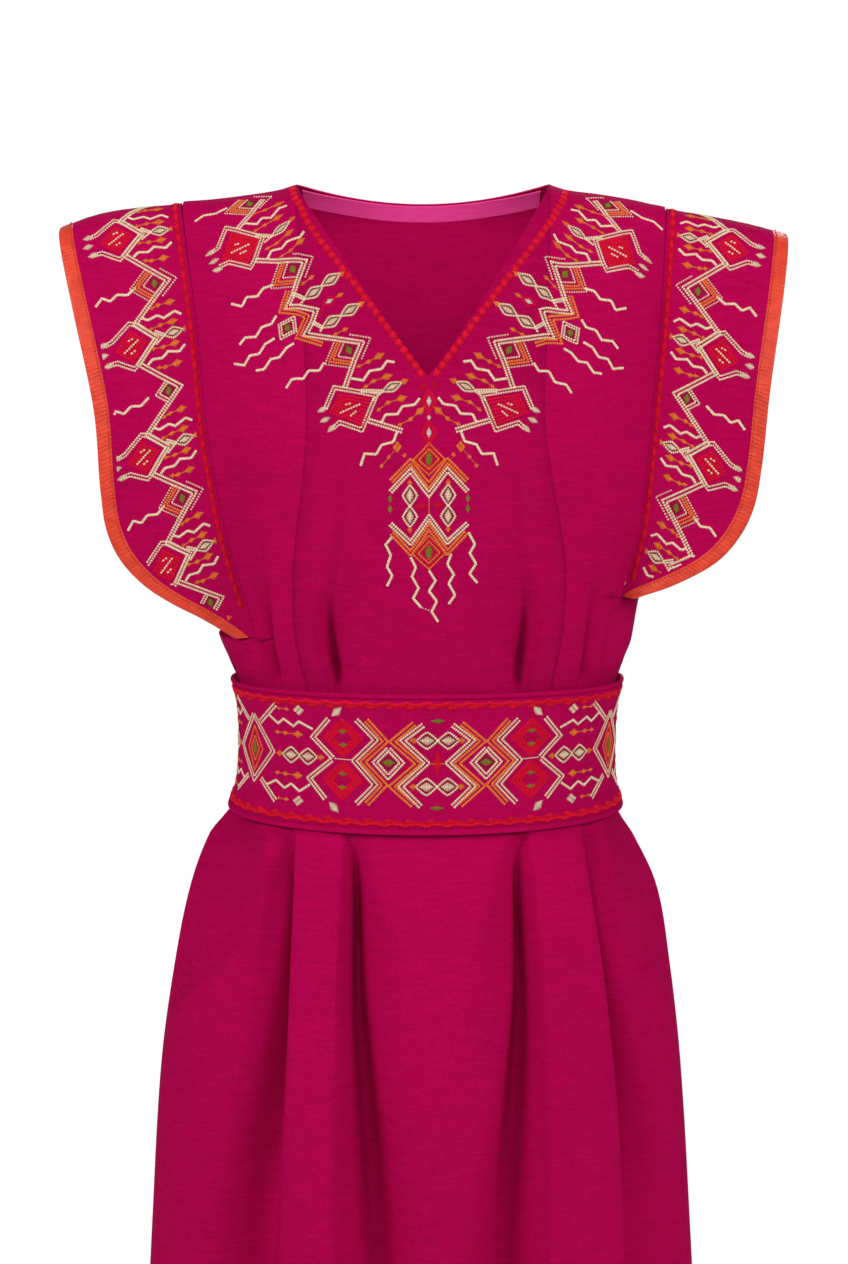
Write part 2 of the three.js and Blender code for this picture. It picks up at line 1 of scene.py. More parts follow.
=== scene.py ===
# %% [markdown]
# # A Kabyle dress, hung as if worn
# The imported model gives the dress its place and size. This lesson makes each cloth panel again as a
# fine surface, sews the embroidery onto it stitch by stitch, and gives every cloth and thread its
# finish. Lengths are in millimetres until a mesh is made. The front faces -Y, the wearer's left is +X.

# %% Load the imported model
import json

import bpy
import numpy as np
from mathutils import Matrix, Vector

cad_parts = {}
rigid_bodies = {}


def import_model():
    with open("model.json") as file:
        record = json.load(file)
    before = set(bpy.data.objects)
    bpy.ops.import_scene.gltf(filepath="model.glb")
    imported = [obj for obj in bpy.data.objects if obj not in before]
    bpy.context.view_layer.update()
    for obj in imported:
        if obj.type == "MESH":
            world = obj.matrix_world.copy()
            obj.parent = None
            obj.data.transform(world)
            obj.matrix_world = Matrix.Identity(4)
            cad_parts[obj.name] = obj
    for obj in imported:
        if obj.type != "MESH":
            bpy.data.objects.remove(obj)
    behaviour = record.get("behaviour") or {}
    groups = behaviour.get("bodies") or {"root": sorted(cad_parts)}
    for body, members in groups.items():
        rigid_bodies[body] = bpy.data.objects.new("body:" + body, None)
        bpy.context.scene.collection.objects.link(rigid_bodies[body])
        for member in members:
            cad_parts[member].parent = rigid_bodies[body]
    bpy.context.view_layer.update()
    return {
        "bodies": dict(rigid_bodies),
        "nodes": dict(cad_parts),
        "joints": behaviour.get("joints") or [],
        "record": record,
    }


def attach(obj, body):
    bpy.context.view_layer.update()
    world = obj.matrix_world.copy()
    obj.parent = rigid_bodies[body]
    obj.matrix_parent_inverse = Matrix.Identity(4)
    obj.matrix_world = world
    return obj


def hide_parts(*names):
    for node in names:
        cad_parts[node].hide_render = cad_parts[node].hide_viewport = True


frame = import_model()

MM = 0.001

# %% [markdown]
# ## Camera
# The photograph looks at the dress from straight in front and a little above, from far enough that
# the hem and the shoulders keep nearly the same scale. A long lens 2.5 m away gives that look.
# The height of the view follows from how much of the shoulders' tops shows.

# %% Camera
def look_from(target, away, azimuth, elevation, lens):
    """A camera on a ball round the target: azimuth turns it from -Y towards +X, elevation lifts it,
    and it looks back along the radius."""
    a, e = np.radians([azimuth, elevation])
    place = Vector(target) + away * Vector((np.sin(a) * np.cos(e), -np.cos(a) * np.cos(e), np.sin(e)))
    data = bpy.data.cameras.new("camera")
    data.lens, data.sensor_width, data.clip_end = lens, 36, 30
    camera = bpy.data.objects.new("camera", data)
    camera.location = place
    camera.rotation_euler = (Vector(target) - place).to_track_quat("-Z", "Y").to_euler()
    bpy.context.collection.objects.link(camera)
    bpy.context.scene.camera = camera
    return camera


camera = look_from((0.0008, 0, -0.353), 2.5, 0, 8, 89.0)
print("camera at", [round(v, 3) for v in camera.location])

# %% [markdown]
# ## The dress as tables
# A tailor notes a dress as widths at a list of heights. These are the model's tables: the body's
# sections, the shoulder line, the armholes and the folded edges of the box pleats. Only the gap at
# the seams is smaller here. A smooth curve through each column gives every height in between.

# %% Tables and how they are read
def table(columns, rows):
    """Named columns of a short table, one array each."""
    return dict(zip(columns.split(), np.array(rows, float).T))


def read(chart, column, at, key="z"):
    """A column's value where its key is `at`. Between two rows runs a cubic, and its slope at a row is
    the slope of the straight line from the row before to the row after."""
    keys, values = chart[key], chart[column]
    if keys[0] > keys[-1]:
        keys, values = keys[::-1], values[::-1]
    last = len(keys) - 1
    before, after = np.maximum(np.arange(last + 1) - 1, 0), np.minimum(np.arange(last + 1) + 1, last)
    slopes = (values[after] - values[before]) / (keys[after] - keys[before])
    i = np.clip(np.searchsorted(keys, at, side="right") - 1, 0, last - 1)
    span = keys[i + 1] - keys[i]
    t = np.clip((at - keys[i]) / span, 0, 1)
    return (
        values[i] * (2 * t**3 - 3 * t**2 + 1)
        + values[i + 1] * (3 * t**2 - 2 * t**3)
        + slopes[i] * span * (t**3 - 2 * t**2 + t)
        + slopes[i + 1] * span * (t**3 - t**2)
    )


CLOTH, SEAM = 1.2, 0.01
SIGN = {"right": -1, "left": 1}
WAIST_Z, HEM_Z = -444, -1350
NECK_HALF = 99
RIGHT_END, LEFT_END = -188, 190
V_TIP_X, V_TIP_Z, V_BOW = 4, -142, 1.15
BACK_NECK_DROP = 14
SHOULDER_ROUND, SLEEVE_ROUND = 90, 130
FLATNESS = 0.85
SEAM_RELIEF = -1.5
SHOULDER = table("out right left", [
    [96, 2.4, 3.2], [102, 0.6, 0.4], [114, -3, -3], [140, -7, -6.4], [165, -10, -10.6],
    [190, -12, -16], [230, -17, -20], [290, -33, -36],
])
BODY = table("z half front back shift", [
    [20, 216, 66, 80, 0], [-60, 206, 80, 92, 0], [-130, 199, 98, 101, 0], [-200, 194, 113, 104, 0.5],
    [-260, 187, 117, 102, 1], [-320, 175, 113, 97, 1.6], [-345, 170, 110, 94.5, 2],
    [-360, 166, 108, 93, 2.4], [-376, 159, 106.5, 91.5, 3], [-388, 151.8, 105.5, 90.5, 3.3],
    [-410, 146.8, 104.5, 89, 3.5], [-440, 145.4, 104, 88, 3.2], [-470, 147, 105.5, 90, 2.6],
    [-490, 153, 108, 94, 2], [-500, 159, 112, 99, 0], [-518, 172.7, 119, 108, -1.4],
    [-560, 190.2, 130, 122, 0.4], [-622, 202.2, 140, 134, -0.6], [-706, 213.2, 149, 143, -1.7],
    [-832, 221.7, 158, 152, -1.8], [-1000, 231, 168, 163, -1.5], [-1350, 248, 188, 184, 0],
])
ARMHOLE = table("z right left", [
    [-15, 188, 190], [-110, 174, 183], [-187, 167, 175.5], [-257, 156.5, 169], [-320, 144.5, 160],
    [-360, 138, 154],
])
EDGE_COLUMNS = "z right_outer right_inner left_inner left_outer"
FRONT_EDGES = table(EDGE_COLUMNS, [
    [-290, -119, -81, 90.5, 129], [-340, -115, -80, 86.5, 125], [-386, -109, -71, 79.5, 120.5],
    [-496, -100, -60.5, 80.5, 124], [-622, -103, -63, 90, 141], [-750, -108, -66, 95, 152],
    [-1350, -128, -74, 108, 172],
])
BACK_EDGES = table(EDGE_COLUMNS, [
    [-290, -116, -84, 84, 118], [-386, -108, -70, 71, 110], [-496, -104, -64, 66, 106],
    [-700, -122, -74, 78, 126], [-1350, -148, -84, 90, 154],
])
THIRD_FOLD = table("z right left share", [
    [-300, -135, 148, 0], [-345, -132, 145, 0.5], [-386, -129, 139.5, 0.6], [-496, -125, 146, 0.6],
    [-560, -132, 162, 0.45], [-700, -150, 182, 0], [-1350, -190, 214, 0],
])
RELIEF = table("z rise slit drop ease", [
    [-262, 0, 0, 20, 48], [-300, 2.5, 4, 14, 42], [-335, 5, 8.5, 8, 30], [-365, 4.5, 8, 5, 20],
    [-386, 2, 2.4, 4, 12], [-440, 1.6, 0.6, 4, 10], [-495, 1.9, 2.4, 4, 12], [-515, 5, 10, 4, 22],
    [-560, 7, 14, 5, 40], [-640, 8, 14, 7, 58], [-760, 8, 12, 18, 72], [-1000, 8, 10, 32, 78],
    [-1350, 8, 9, 36, 80],
])
CORNER = 2
BODICE_DROPS = np.array([
    0, 3, 12.5, 25, 44, 66, 90, 120, 151, 183, 215, 247, 275, 302.5, 306, 334, 338, 350, 361, 374, 400,
])
SKIRT_DROPS = np.array([0, 36, 50, 60, 72, 88, 112, 150, 205, 285, 390, 520, 700, 905.7])
ARMHOLE_END = {"right": 15, "left": 13}
COLUMNS = 32
print("half width of the dress at the waist, mm:", round(float(read(BODY, "half", WAIST_Z)), 1))

# %% [markdown]
# ## The body of the dress as one surface
# Cloth that hangs from the shoulders and is tied at the waist could be simulated, but its pressed
# box pleats would soften, and the model's places would be lost. So the surface is a formula: at each
# height a flattened half ellipse for front and back, narrowed over the shoulders by a quarter circle,
# with the relief of the pleats added outwards. The drape that the solids leave out is added last.

# %% Small helpers for arrays
def mix(a, b, t):
    """The value a share t of the way from a to b: a + (b - a) t."""
    return a + (b - a) * t


def smooth(start, end, v):
    """0 before start, 1 after end, and 3t^2 - 2t^3 in between."""
    t = np.clip((v - start) / (end - start), 0, 1)
    return t * t * (3 - 2 * t)


def bump(at, wide, v):
    """A soft ridge exp(-(distance / width)^2) round a place."""
    return np.exp(-(((v - at) / wide) ** 2))


def unit(vectors):
    """Each vector over its length."""
    return vectors / np.maximum(np.linalg.norm(vectors, axis=-1, keepdims=True), 1e-9)


def lengths(points):
    """Running length along a path: 0, then the sum of the steps so far."""
    return np.append(0, np.cumsum(np.linalg.norm(np.diff(points, axis=0), axis=1)))


def turned(vectors, degrees):
    """Flat vectors turned anticlockwise: (x cos a - y sin a, x sin a + y cos a)."""
    a = np.radians(degrees)
    return vectors @ np.array([[np.cos(a), np.sin(a)], [-np.sin(a), np.cos(a)]])


def arch(drop, height):
    """Share of the full depth at a drop below a ridge: a quarter circle, then 1."""
    return np.sqrt(1 - (1 - np.clip(drop / height, 0, 1)) ** 2)


# %% The formula of the body
def shoulder_z(x):
    """Height of the shoulder line at x, read from the wearer's right or left column."""
    out = np.abs(x)
    return np.where(x < 0, read(SHOULDER, "right", out, "out"), read(SHOULDER, "left", out, "out"))


def angle_at(x, z):
    """Angle whose sine is the distance from the section's middle over its half width."""
    return np.arcsin(np.clip((x - read(BODY, "shift", z)) / read(BODY, "half", z), -1, 1))


def beside(q, relief):
    """Beside a folded edge: a smooth step down over its corner, and the slit that eases back out."""
    down = smooth(-CORNER - relief["drop"] / 4, relief["drop"], q)
    back = smooth(relief["drop"], relief["drop"] + relief["ease"], q)
    return down, relief["slit"] * down * (1 - back)


def folds(face, z):
    """For the wearer's right and left: the side, the sign of x, and how far out the inner and the
    outer folded edge lie."""
    edges = FRONT_EDGES if face < 0 else BACK_EDGES
    return [
        (side, sign, sign * read(edges, side + "_inner", z), sign * read(edges, side + "_outer", z))
        for side, sign in SIGN.items()
    ]


def pleat_relief(face, x, z):
    """Panels of the box pleats stand up between their two folded edges, less the slits beside them."""
    relief = {name: read(RELIEF, name, z) for name in ("rise", "slit", "drop", "ease")}
    out = 0
    for side, sign, inner, outer in folds(face, z):
        to_centre, slit_in = beside(inner - sign * x, relief)
        to_side, slit_out = beside(sign * x - outer, relief)
        third = beside(sign * (x - read(THIRD_FOLD, side, z)), relief)[1]
        out = out + relief["rise"] * (1 - to_centre) * (1 - to_side) - slit_in - slit_out
        out = out - read(THIRD_FOLD, "share", z) * third
    return out


def hollows(face, x, z):
    """The cloth sinks away beside each pleat: a soft hollow that is narrow at the belt and wider
    further down, on both sides of the raised panel, and the same in small above the belt."""
    below, above = smooth(-497, -570, z), smooth(-290, -350, z) * smooth(-386, -372, z)
    wide = mix(5.0, 30.0, smooth(-540, -900, z))
    deep = mix(13.0, 25.0, smooth(-540, -760, z)) * below + 6 * above
    out = 0
    for _, sign, inner, outer in folds(face, z):
        for q in (inner - sign * x, sign * x - outer):
            out = out + deep * bump(wide, wide * 0.8, q) * smooth(-1, 3, q)
    return out


def drape(face, x, z):
    """Low waves of the hanging cloth: sines across the skirt that fade in below the belt, and slack
    rolls just above it, less the hollows beside the pleats."""
    skirt = smooth(-540, -800, z)
    waves = 1.6 * np.sin(x / 21 + 0.8 * np.sin(z / 210) + face) + 0.9 * np.sin(x / 11.5 - z / 330)
    slack = 1.1 * bump(-372, 16, z) * np.sin(x / 8.5 + z / 14)
    bodice = 0.8 * smooth(-150, -220, z) * smooth(-360, -300, z) * np.sin(x / 26 + z / 34)
    return skirt * waves * 0.8 + slack * 0.6 + bodice * 0.6 - hollows(face, x, z)


def dress_point(face, angle, z):
    """x = shift + half sin(angle), y = depth cos(angle)^0.85 times the shoulder's arch, both moved
    along the section's outward direction by the relief, with z as it is. At the skirt's side seams
    the relief eases to one value, so that front and back meet."""
    half, deep = read(BODY, "half", z), read(BODY, "front" if face < 0 else "back", z)
    x = read(BODY, "shift", z) + half * np.sin(angle)
    y = face * deep * np.maximum(np.cos(angle), 0) ** FLATNESS * arch(shoulder_z(x) - z, SHOULDER_ROUND)
    step = smooth(-260, -330, z) * smooth(-392, -366, z) * smooth(0.86, 0.89, np.abs(x) / half)
    out = pleat_relief(face, x, z) - 3 * step + drape(face, x, z)
    at_seam = smooth(0.94, 1, np.abs(x - read(BODY, "shift", z)) / half) * smooth(-496, -530, z)
    out = mix(out, SEAM_RELIEF, at_seam)
    away = unit(np.stack([np.sin(angle) / half, face * np.cos(angle) / deep], -1))
    return np.stack([x + away[..., 0] * out, y + away[..., 1] * out, z + 0 * x], -1)


def dress_normal(face, angle, z):
    """Outward normal: the cross product of two short steps on the surface."""
    top = shoulder_z(read(BODY, "shift", z) + read(BODY, "half", z) * np.sin(angle)) - 0.001
    upper = np.minimum(z + 0.4, top)
    across = dress_point(face, angle + 0.004, z) - dress_point(face, angle - 0.004, z)
    up = dress_point(face, angle, upper) - dress_point(face, angle, upper - 0.8)
    return unit(np.cross(across, up)) * -face


bust = dress_point(-1, np.array(0.0), np.array(-230.0))
print("a point on the front, mm:", bust.round(1))

# %% [markdown]
# ## Columns that follow the folds
# A pressed fold stays sharp only where the mesh has columns along it. So four columns run down each
# folded edge and the others share the cloth between them. The fine mesh keeps those columns and
# fills in more between them.

# %% Columns of the panels
def column_angles(face, z, seams=None):
    """Angles of the 33 columns at each height: along the seams, the folds, the middles and the centre."""
    seams = [side_seam(z)] * 2 if seams is None else seams
    drop, ease = read(RELIEF, "drop", z), read(RELIEF, "ease", z)
    corner = CORNER + drop / 4
    steps = [drop + ease / 3, drop, drop / 2, -corner]
    follow = smooth(0, 0.4, read(THIRD_FOLD, "share", z))
    angles = np.zeros(z.shape + (COLUMNS + 1,))
    for (side, sign, inner, outer), seam in zip(folds(face, z), seams):
        at = (lambda k: k) if sign < 0 else (lambda k: COLUMNS - k)
        middle = (inner + outer) / 2
        seam_x = sign * read(BODY, "shift", z) + read(BODY, "half", z) * np.sin(seam)
        squeeze = np.minimum(1, (seam_x - 16 - outer) / steps[0])
        places = {8: middle}
        for k, q in enumerate(steps):
            beyond = q if k == 3 else q * squeeze
            places[4 + k] = outer + np.maximum(beyond, (middle - outer) * 0.8)
            places[12 - k] = inner - np.maximum(q, (inner - middle) * 0.8)
        for k in (13, 14, 15):
            places[k] = (inner - steps[0]) * (16 - k) / 4
        fourth = outer + steps[0] * squeeze
        third = np.clip(sign * read(THIRD_FOLD, side, z), fourth + 6, seam_x - 9)
        places[3] = (fourth + third) / 2
        places[2] = third - np.minimum(corner, (third - fourth) / 4)
        places[1] = third + np.minimum(drop, (seam_x - third) / 2)
        for k, x in places.items():
            angles[..., at(k)] = angle_at(sign * x, z)
        angles[..., at(0)] = sign * seam
        for k in (1, 2, 3):
            even = mix(angles[..., at(0)], angles[..., at(4)], k / 4)
            angles[..., at(k)] = mix(even, angles[..., at(k)], follow)
    return angles


def pick_column(angles, column):
    """Angle at a column between two of the 33, on the straight line between them."""
    low = np.clip(np.floor(column).astype(int), 0, COLUMNS - 1)
    a = np.take_along_axis(angles, low[..., None], -1)[..., 0]
    b = np.take_along_axis(angles, low[..., None] + 1, -1)[..., 0]
    return mix(a, b, column - low)


def side_seam(z):
    """Angle of the side seam, which leaves half the seam's gap to the other face."""
    return np.arccos(SEAM / 2 / (0.98 * read(BODY, "half", z)))


# %% Places of the bodice's grid
SHOULDER_END_Z = -15
BODICE_LONG = SHOULDER_END_Z - WAIST_Z - SEAM / 2
ROW_SHARE = np.append(BODICE_DROPS / BODICE_LONG, 1)
TOP_COLUMNS = [0, 8, 16, 24, 32]
TOP_X = [RIGHT_END, -NECK_HALF, V_TIP_X, NECK_HALF, LEFT_END]


def neck_z(face, x):
    """The V's edge, a line with a slight bow, or the back neck's parabola; the shoulder line outside."""
    end = read(SHOULDER, "left", NECK_HALF, "out")
    run = np.where(x < V_TIP_X, V_TIP_X + NECK_HALF, NECK_HALF - V_TIP_X)
    front = mix(V_TIP_Z, end, np.clip(np.abs(x - V_TIP_X) / run, 0, 1) ** V_BOW)
    back = mix(-BACK_NECK_DROP, end, (x / NECK_HALF) ** 2)
    return np.where(np.abs(x) >= NECK_HALF - 1e-6, shoulder_z(x), front if face < 0 else back)


def bodice_place(face, row, column):
    """Angle and height at a row and column: the height runs from the neck or shoulder to the waist, and
    the angle from even columns at the top to the columns that follow the folds."""
    x = np.interp(column, TOP_COLUMNS, TOP_X)
    z = mix(neck_z(face, x), WAIST_Z + SEAM / 2, np.interp(row, np.arange(len(ROW_SHARE)), ROW_SHARE))
    seams = [
        mix(np.abs(angle_at(read(ARMHOLE, side, z), z)), side_seam(z), np.clip(row - end, 0, 1))
        for side, end in ARMHOLE_END.items()
    ]
    low = pick_column(column_angles(face, z, seams), column)
    wide = np.where(x < 0, read(ARMHOLE, "right", z) / -RIGHT_END, read(ARMHOLE, "left", z) / LEFT_END)
    inside = np.clip(np.minimum(column, COLUMNS - column), 0, 1)
    return mix(low, angle_at(x * wide, z), smooth(-300, -150, z) * inside), z


# %% [markdown]
# ## From a grid of points to a wall of cloth
# A panel is a sheet with a thickness. The grid is laid twice, once outside and once moved in by the
# cloth's thickness, and a rim closes the two. That keeps the panel one closed, hollow-standing wall.

# %% Mesh makers
def put_piece(name, points, faces, uv, node=None, slot="magenta_cloth", keep_sharp=45):
    """A mesh object in metres from arrays of points, faces and a UV for each point; the faces are
    turned round if the volume they enclose, the sum of a . (b x c) / 6, is negative."""
    a, b, c = (points[faces[:, k]] for k in (0, 1, 2))
    d = points[faces[:, -1]]
    volume = np.einsum("ij,ij->i", a, np.cross(b, c)).sum()
    volume += np.einsum("ij,ij->i", a, np.cross(c, d)).sum() if faces.shape[1] == 4 else 0
    faces = faces if volume > 0 else faces[:, ::-1]
    mesh = bpy.data.meshes.new(name)
    mesh.vertices.add(len(points))
    mesh.vertices.foreach_set("co", (points * MM).astype(np.float32).ravel())
    mesh.loops.add(faces.size)
    mesh.loops.foreach_set("vertex_index", faces.astype(np.int32).ravel())
    mesh.polygons.add(len(faces))
    mesh.polygons.foreach_set("loop_start", np.arange(0, faces.size, faces.shape[1], dtype=np.int32))
    mesh.update(calc_edges=True)
    layer = mesh.uv_layers.new(name="UVMap")
    layer.data.foreach_set("uv", (uv[faces.ravel()] * MM).astype(np.float32).ravel())
    mesh.polygons.foreach_set("use_smooth", np.ones(len(faces), bool))
    mesh.set_sharp_from_angle(angle=np.radians(keep_sharp))
    piece = bpy.data.objects.new(name, mesh)
    bpy.context.collection.objects.link(piece)
    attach(piece, "root")
    if node:
        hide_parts(node)
    print(f"{name}: {len(faces)} faces")
    return piece


def grid_faces(rows, columns, start=0):
    """Four corners of every cell of a grid whose points are numbered row by row."""
    corner = start + np.arange(rows - 1)[:, None] * columns + np.arange(columns - 1)
    return np.stack([corner, corner + columns, corner + columns + 1, corner + 1], -1).reshape(-1, 4)


def wall_piece(name, outer, inner, uv, **kind):
    """Outer and inner grid of the same size, joined along their rim."""
    rows, columns = outer.shape[:2]
    count = rows * columns
    index = np.arange(count).reshape(rows, columns)
    rim = np.concatenate([index[0, :-1], index[:-1, -1], index[-1, :0:-1], index[:0:-1, 0]])
    ahead = np.roll(rim, -1)
    faces = np.concatenate([
        grid_faces(rows, columns),
        grid_faces(rows, columns, count)[:, ::-1],
        np.stack([rim, ahead, ahead + count, rim + count], -1),
    ])
    points = np.concatenate([outer.reshape(-1, 3), inner.reshape(-1, 3)])
    return put_piece(name, points, faces, np.tile(uv.reshape(-1, 2), (2, 1)), **kind)


def finer(places, step):
    """Positions along a list of places such that neighbours are no further apart than the step:
    whole numbers are the listed places themselves."""
    counts = np.ceil(np.abs(np.diff(places)) / step).astype(int)
    parts = [k + np.arange(n) / n for k, n in enumerate(np.maximum(counts, 1))]
    return np.append(np.concatenate(parts), len(places) - 1)


def cloth_uv(points):
    """Distances along the cloth from the middle column and the top row: running sums of the steps."""
    across = np.cumsum(np.linalg.norm(np.diff(points, axis=1, prepend=points[:, :1]), axis=-1), 1)
    across -= across[:, points.shape[1] // 2][:, None]
    down = np.cumsum(np.linalg.norm(np.diff(points, axis=0, prepend=points[:1]), axis=-1), 0)
    return np.stack([across, -down], -1)


def measure(name, points):
    """Prints a grid's area, half the cross product of each cell's diagonals, summed, with its longest
    row and column, so that the flat size of the cloth can be stated from them."""
    first, second = points[1:, 1:] - points[:-1, :-1], points[1:, :-1] - points[:-1, 1:]
    area = np.linalg.norm(np.cross(first, second), axis=-1).sum() / 2 * MM**2
    long = [np.linalg.norm(np.diff(points, axis=k), axis=-1).sum(k).max() * MM for k in (1, 0)]
    print(f"{name}: {area:.4f} square metres, row {long[0]:.3f} m, column {long[1]:.3f} m")


# %% [markdown]
# ## Bodice, front and back
# The front is one panel with a deep V, the back one with a shallow curve. On the real dress both are
# cut flat, sewn at the shoulders and sides, and pinched into box pleats at the waist seam.

# %% Front and back bodice
def bodice_columns(face, step):
    """Columns fine enough for the neck as well as for the folds at the waist."""
    z = np.array([-360.0])
    x_low = np.sin(column_angles(face, z)[0]) * read(BODY, "half", z)
    x_top = np.interp(np.arange(COLUMNS + 1), TOP_COLUMNS, TOP_X)
    widths = np.maximum(np.diff(x_low), np.diff(x_top))
    return finer(np.append(0, np.cumsum(widths)), step)


def make_bodice(face, name, step):
    """The bodice's grid, set apart at the shoulder and side seams, and its wall."""
    row = finer(np.append(BODICE_DROPS, BODICE_LONG), 4.4)[:, None]
    column = bodice_columns(face, step)[None, :]
    angle, z = bodice_place(face, row + 0 * column, column + 0 * row)
    outer, normal = dress_point(face, angle, z), dress_normal(face, angle, z)
    shoulder = np.zeros(z.shape, bool)
    shoulder[0] = np.abs(outer[0, :, 0]) >= NECK_HALF - 0.5
    seam = np.zeros(z.shape, bool)
    seam[1:, [0, -1]] = np.abs(outer[1:, [0, -1], 1]) < 1
    outer[shoulder, 1] += face * SEAM / 2
    normal[shoulder | seam, 1] = 0
    inner = outer - CLOTH * unit(normal)
    piece = wall_piece(name, outer, inner, cloth_uv(outer), node=name)
    measure(name, outer)
    return piece, outer, inner, normal


front_bodice, *_ = make_bodice(-1, "front_bodice", 3.1)
back_bodice, *back_grids = make_bodice(1, "back_bodice", 4.2)

# %% [markdown]
# ## Skirt, front and back
# Each skirt panel is gathered into the same box pleats under the belt and opens out to the hem. The
# folds start sharp and soften on the way down as the cloth's weight pulls them flat.

# %% Front and back skirt
def make_skirt(face, name, step):
    """The skirt's grid: rows by the drop from the waist, columns even at the hem."""
    row = finer(SKIRT_DROPS, 7)[:, None]
    drop = np.interp(row, np.arange(len(SKIRT_DROPS)), SKIRT_DROPS)
    z = WAIST_Z - SEAM / 2 - drop
    low = np.array([float(HEM_Z)])
    x = np.sin(column_angles(face, low)[0]) * read(BODY, "half", low)
    column = finer(x, step)[None, :]
    z = z + 0 * column
    angle = pick_column(column_angles(face, z), column + 0 * row)
    outer, normal = dress_point(face, angle, z), dress_normal(face, angle, z)
    normal[:, [0, -1], 1] = 0
    inner = outer - CLOTH * unit(normal)
    piece = wall_piece(name, outer, inner, cloth_uv(outer), node=name)
    measure(name, outer)
    return piece


front_skirt = make_skirt(-1, "front_skirt", 4.2)
back_skirt = make_skirt(1, "back_skirt", 5.6)

# %% [markdown]
# ## Wing sleeves
# Each sleeve is a half-moon of cloth sewn to the armhole: wide over the shoulder, narrowing to a tip
# at front and back of the underarm. It is a strip between two curves, the armhole seam and the outer
# edge, and its top bows up a little because the cloth is stiff there.

# %% The formula of a sleeve
WING = {
    "right": np.array([
        [285.5, -33], [269.5, -95], [253.5, -171], [249.5, -235], [245.5, -265], [235.5, -288],
        [217, -308.5], [196, -322.5], [172, -335], [147, -350],
    ]),
    "left": np.array([
        [286, -37.5], [280, -72], [267.5, -152], [262, -215], [257, -246], [247.5, -268], [230, -289],
        [195, -308.5], [165, -318.5],
    ]),
}
WING_DEPTH, WING_TAPER = 70, 0.17
BOW, BOW_POWER = {"right": 5, "left": 1.8}, 1.35
SLEEVE_GAP = 1.1
BINDING_WIDE = 12


def along_curve(points, share):
    """Points at shares of the length of a Catmull-Rom curve through the given points, whose knots are
    the running sums of the square roots of the distances between them."""
    ends = np.concatenate([[2 * points[0] - points[1]], points, [2 * points[-1] - points[-2]]])
    knots = np.append(0, np.cumsum(np.sqrt(np.linalg.norm(np.diff(ends, axis=0), axis=1))))
    t = np.linspace(knots[1], knots[-2], 800)
    i = np.clip(np.searchsorted(knots, t, side="right") - 1, 1, len(knots) - 3)
    p, k = [ends[i + n] for n in (-1, 0, 1, 2)], [knots[i + n] for n in (-1, 0, 1, 2)]
    blend = lambda a, b, ka, kb: a + (b - a) * ((t - ka) / (kb - ka))[:, None]
    a = [blend(p[n], p[n + 1], k[n], k[n + 1]) for n in range(3)]
    b = [blend(a[n], a[n + 1], k[n], k[n + 2]) for n in range(2)]
    curve = blend(b[0], b[1], k[1], k[2])
    length = lengths(curve)
    return np.stack([np.interp(share * length[-1], length, curve[:, n]) for n in (0, 1)], -1)


def sleeve_strip(side, row):
    """Inner and outer edge at signed rows, negative on the front and 0 on the ridge, with the outward
    normal of the strip between them: the cross product of its width and its run."""
    sign, wing, end = SIGN[side], WING[side], ARMHOLE_END[side]
    drops = np.interp(np.abs(row), np.arange(len(BODICE_DROPS)), BODICE_DROPS)
    inner = np.zeros((len(row), 3))
    for face in (-1, 1):
        here = row < 0 if face < 0 else row >= 0
        column = np.full(here.sum(), 0.0 if sign < 0 else float(COLUMNS))
        angle, z = bodice_place(face, np.minimum(np.abs(row[here]), end), column)
        inward = -dress_normal(face, angle, z)
        on_top = smooth(12, 0, drops[here])[:, None]
        inward = unit(mix(inward, np.array([0.0, 0.0, -1.0]), on_top))
        inner[here] = dress_point(face, angle, z) + CLOTH * inward
    inner[:, 0] += sign * SLEEVE_GAP
    inner[np.abs(row) < 1e-6, 1] = 0
    place = along_curve(wing, drops / BODICE_DROPS[end])
    taper = 1 - WING_TAPER * smooth(wing[2, 1], wing[-1, 1], place[:, 1])
    drop = wing[0, 1] - place[:, 1]
    deep = WING_DEPTH * taper * arch(drop, SLEEVE_ROUND) * np.where(row < 0, -1, 1)
    outer = np.stack([sign * place[:, 0], deep, place[:, 1]], -1)
    bow = BOW[side] * (1 - smooth(0, 110, drop))
    normal = unit(np.cross(outer - inner, np.gradient(inner + outer, axis=0))) * sign
    return inner, outer, normal, bow


def sleeve_surface(side, row, distances):
    """Points at the distances out from the seam that a function of the width gives, and the normals:
    along the straight line across the strip, lifted by the bow times sin(pi share^1.35)."""
    inner, outer, normal, bow = sleeve_strip(side, row)
    width = np.linalg.norm(outer - inner, axis=-1)
    across = (outer - inner) / width[:, None]
    distance = distances(width)
    share = np.clip(distance / width[:, None], 0, 1)
    lift = bow[:, None] * np.sin(np.pi * share**BOW_POWER)
    points = inner[:, None] + across[:, None] * distance[..., None] + normal[:, None] * lift[..., None]
    return points, normal


# %% Both sleeves
def sleeve_rows(side, step):
    """Signed rows from the front tip over the ridge at 0 to the back tip."""
    rows = finer(BODICE_DROPS[: ARMHOLE_END[side] + 1], step)
    return np.concatenate([-rows[:0:-1], rows])


def make_sleeve(side):
    """The sleeve's wall, from the seam to 4 mm under the binding."""
    row = sleeve_rows(side, 4)
    to_binding = lambda width: np.linspace(0, 1, 30) * (width - BINDING_WIDE + 4)[:, None]
    outer, normal = sleeve_surface(side, row, to_binding)
    inner = outer - CLOTH * normal[:, None]
    name = f"{side}_sleeve"
    piece = wall_piece(name, outer, inner, cloth_uv(outer), node=name)
    measure(name, outer)
    return piece


right_sleeve = make_sleeve("right")
left_sleeve = make_sleeve("left")

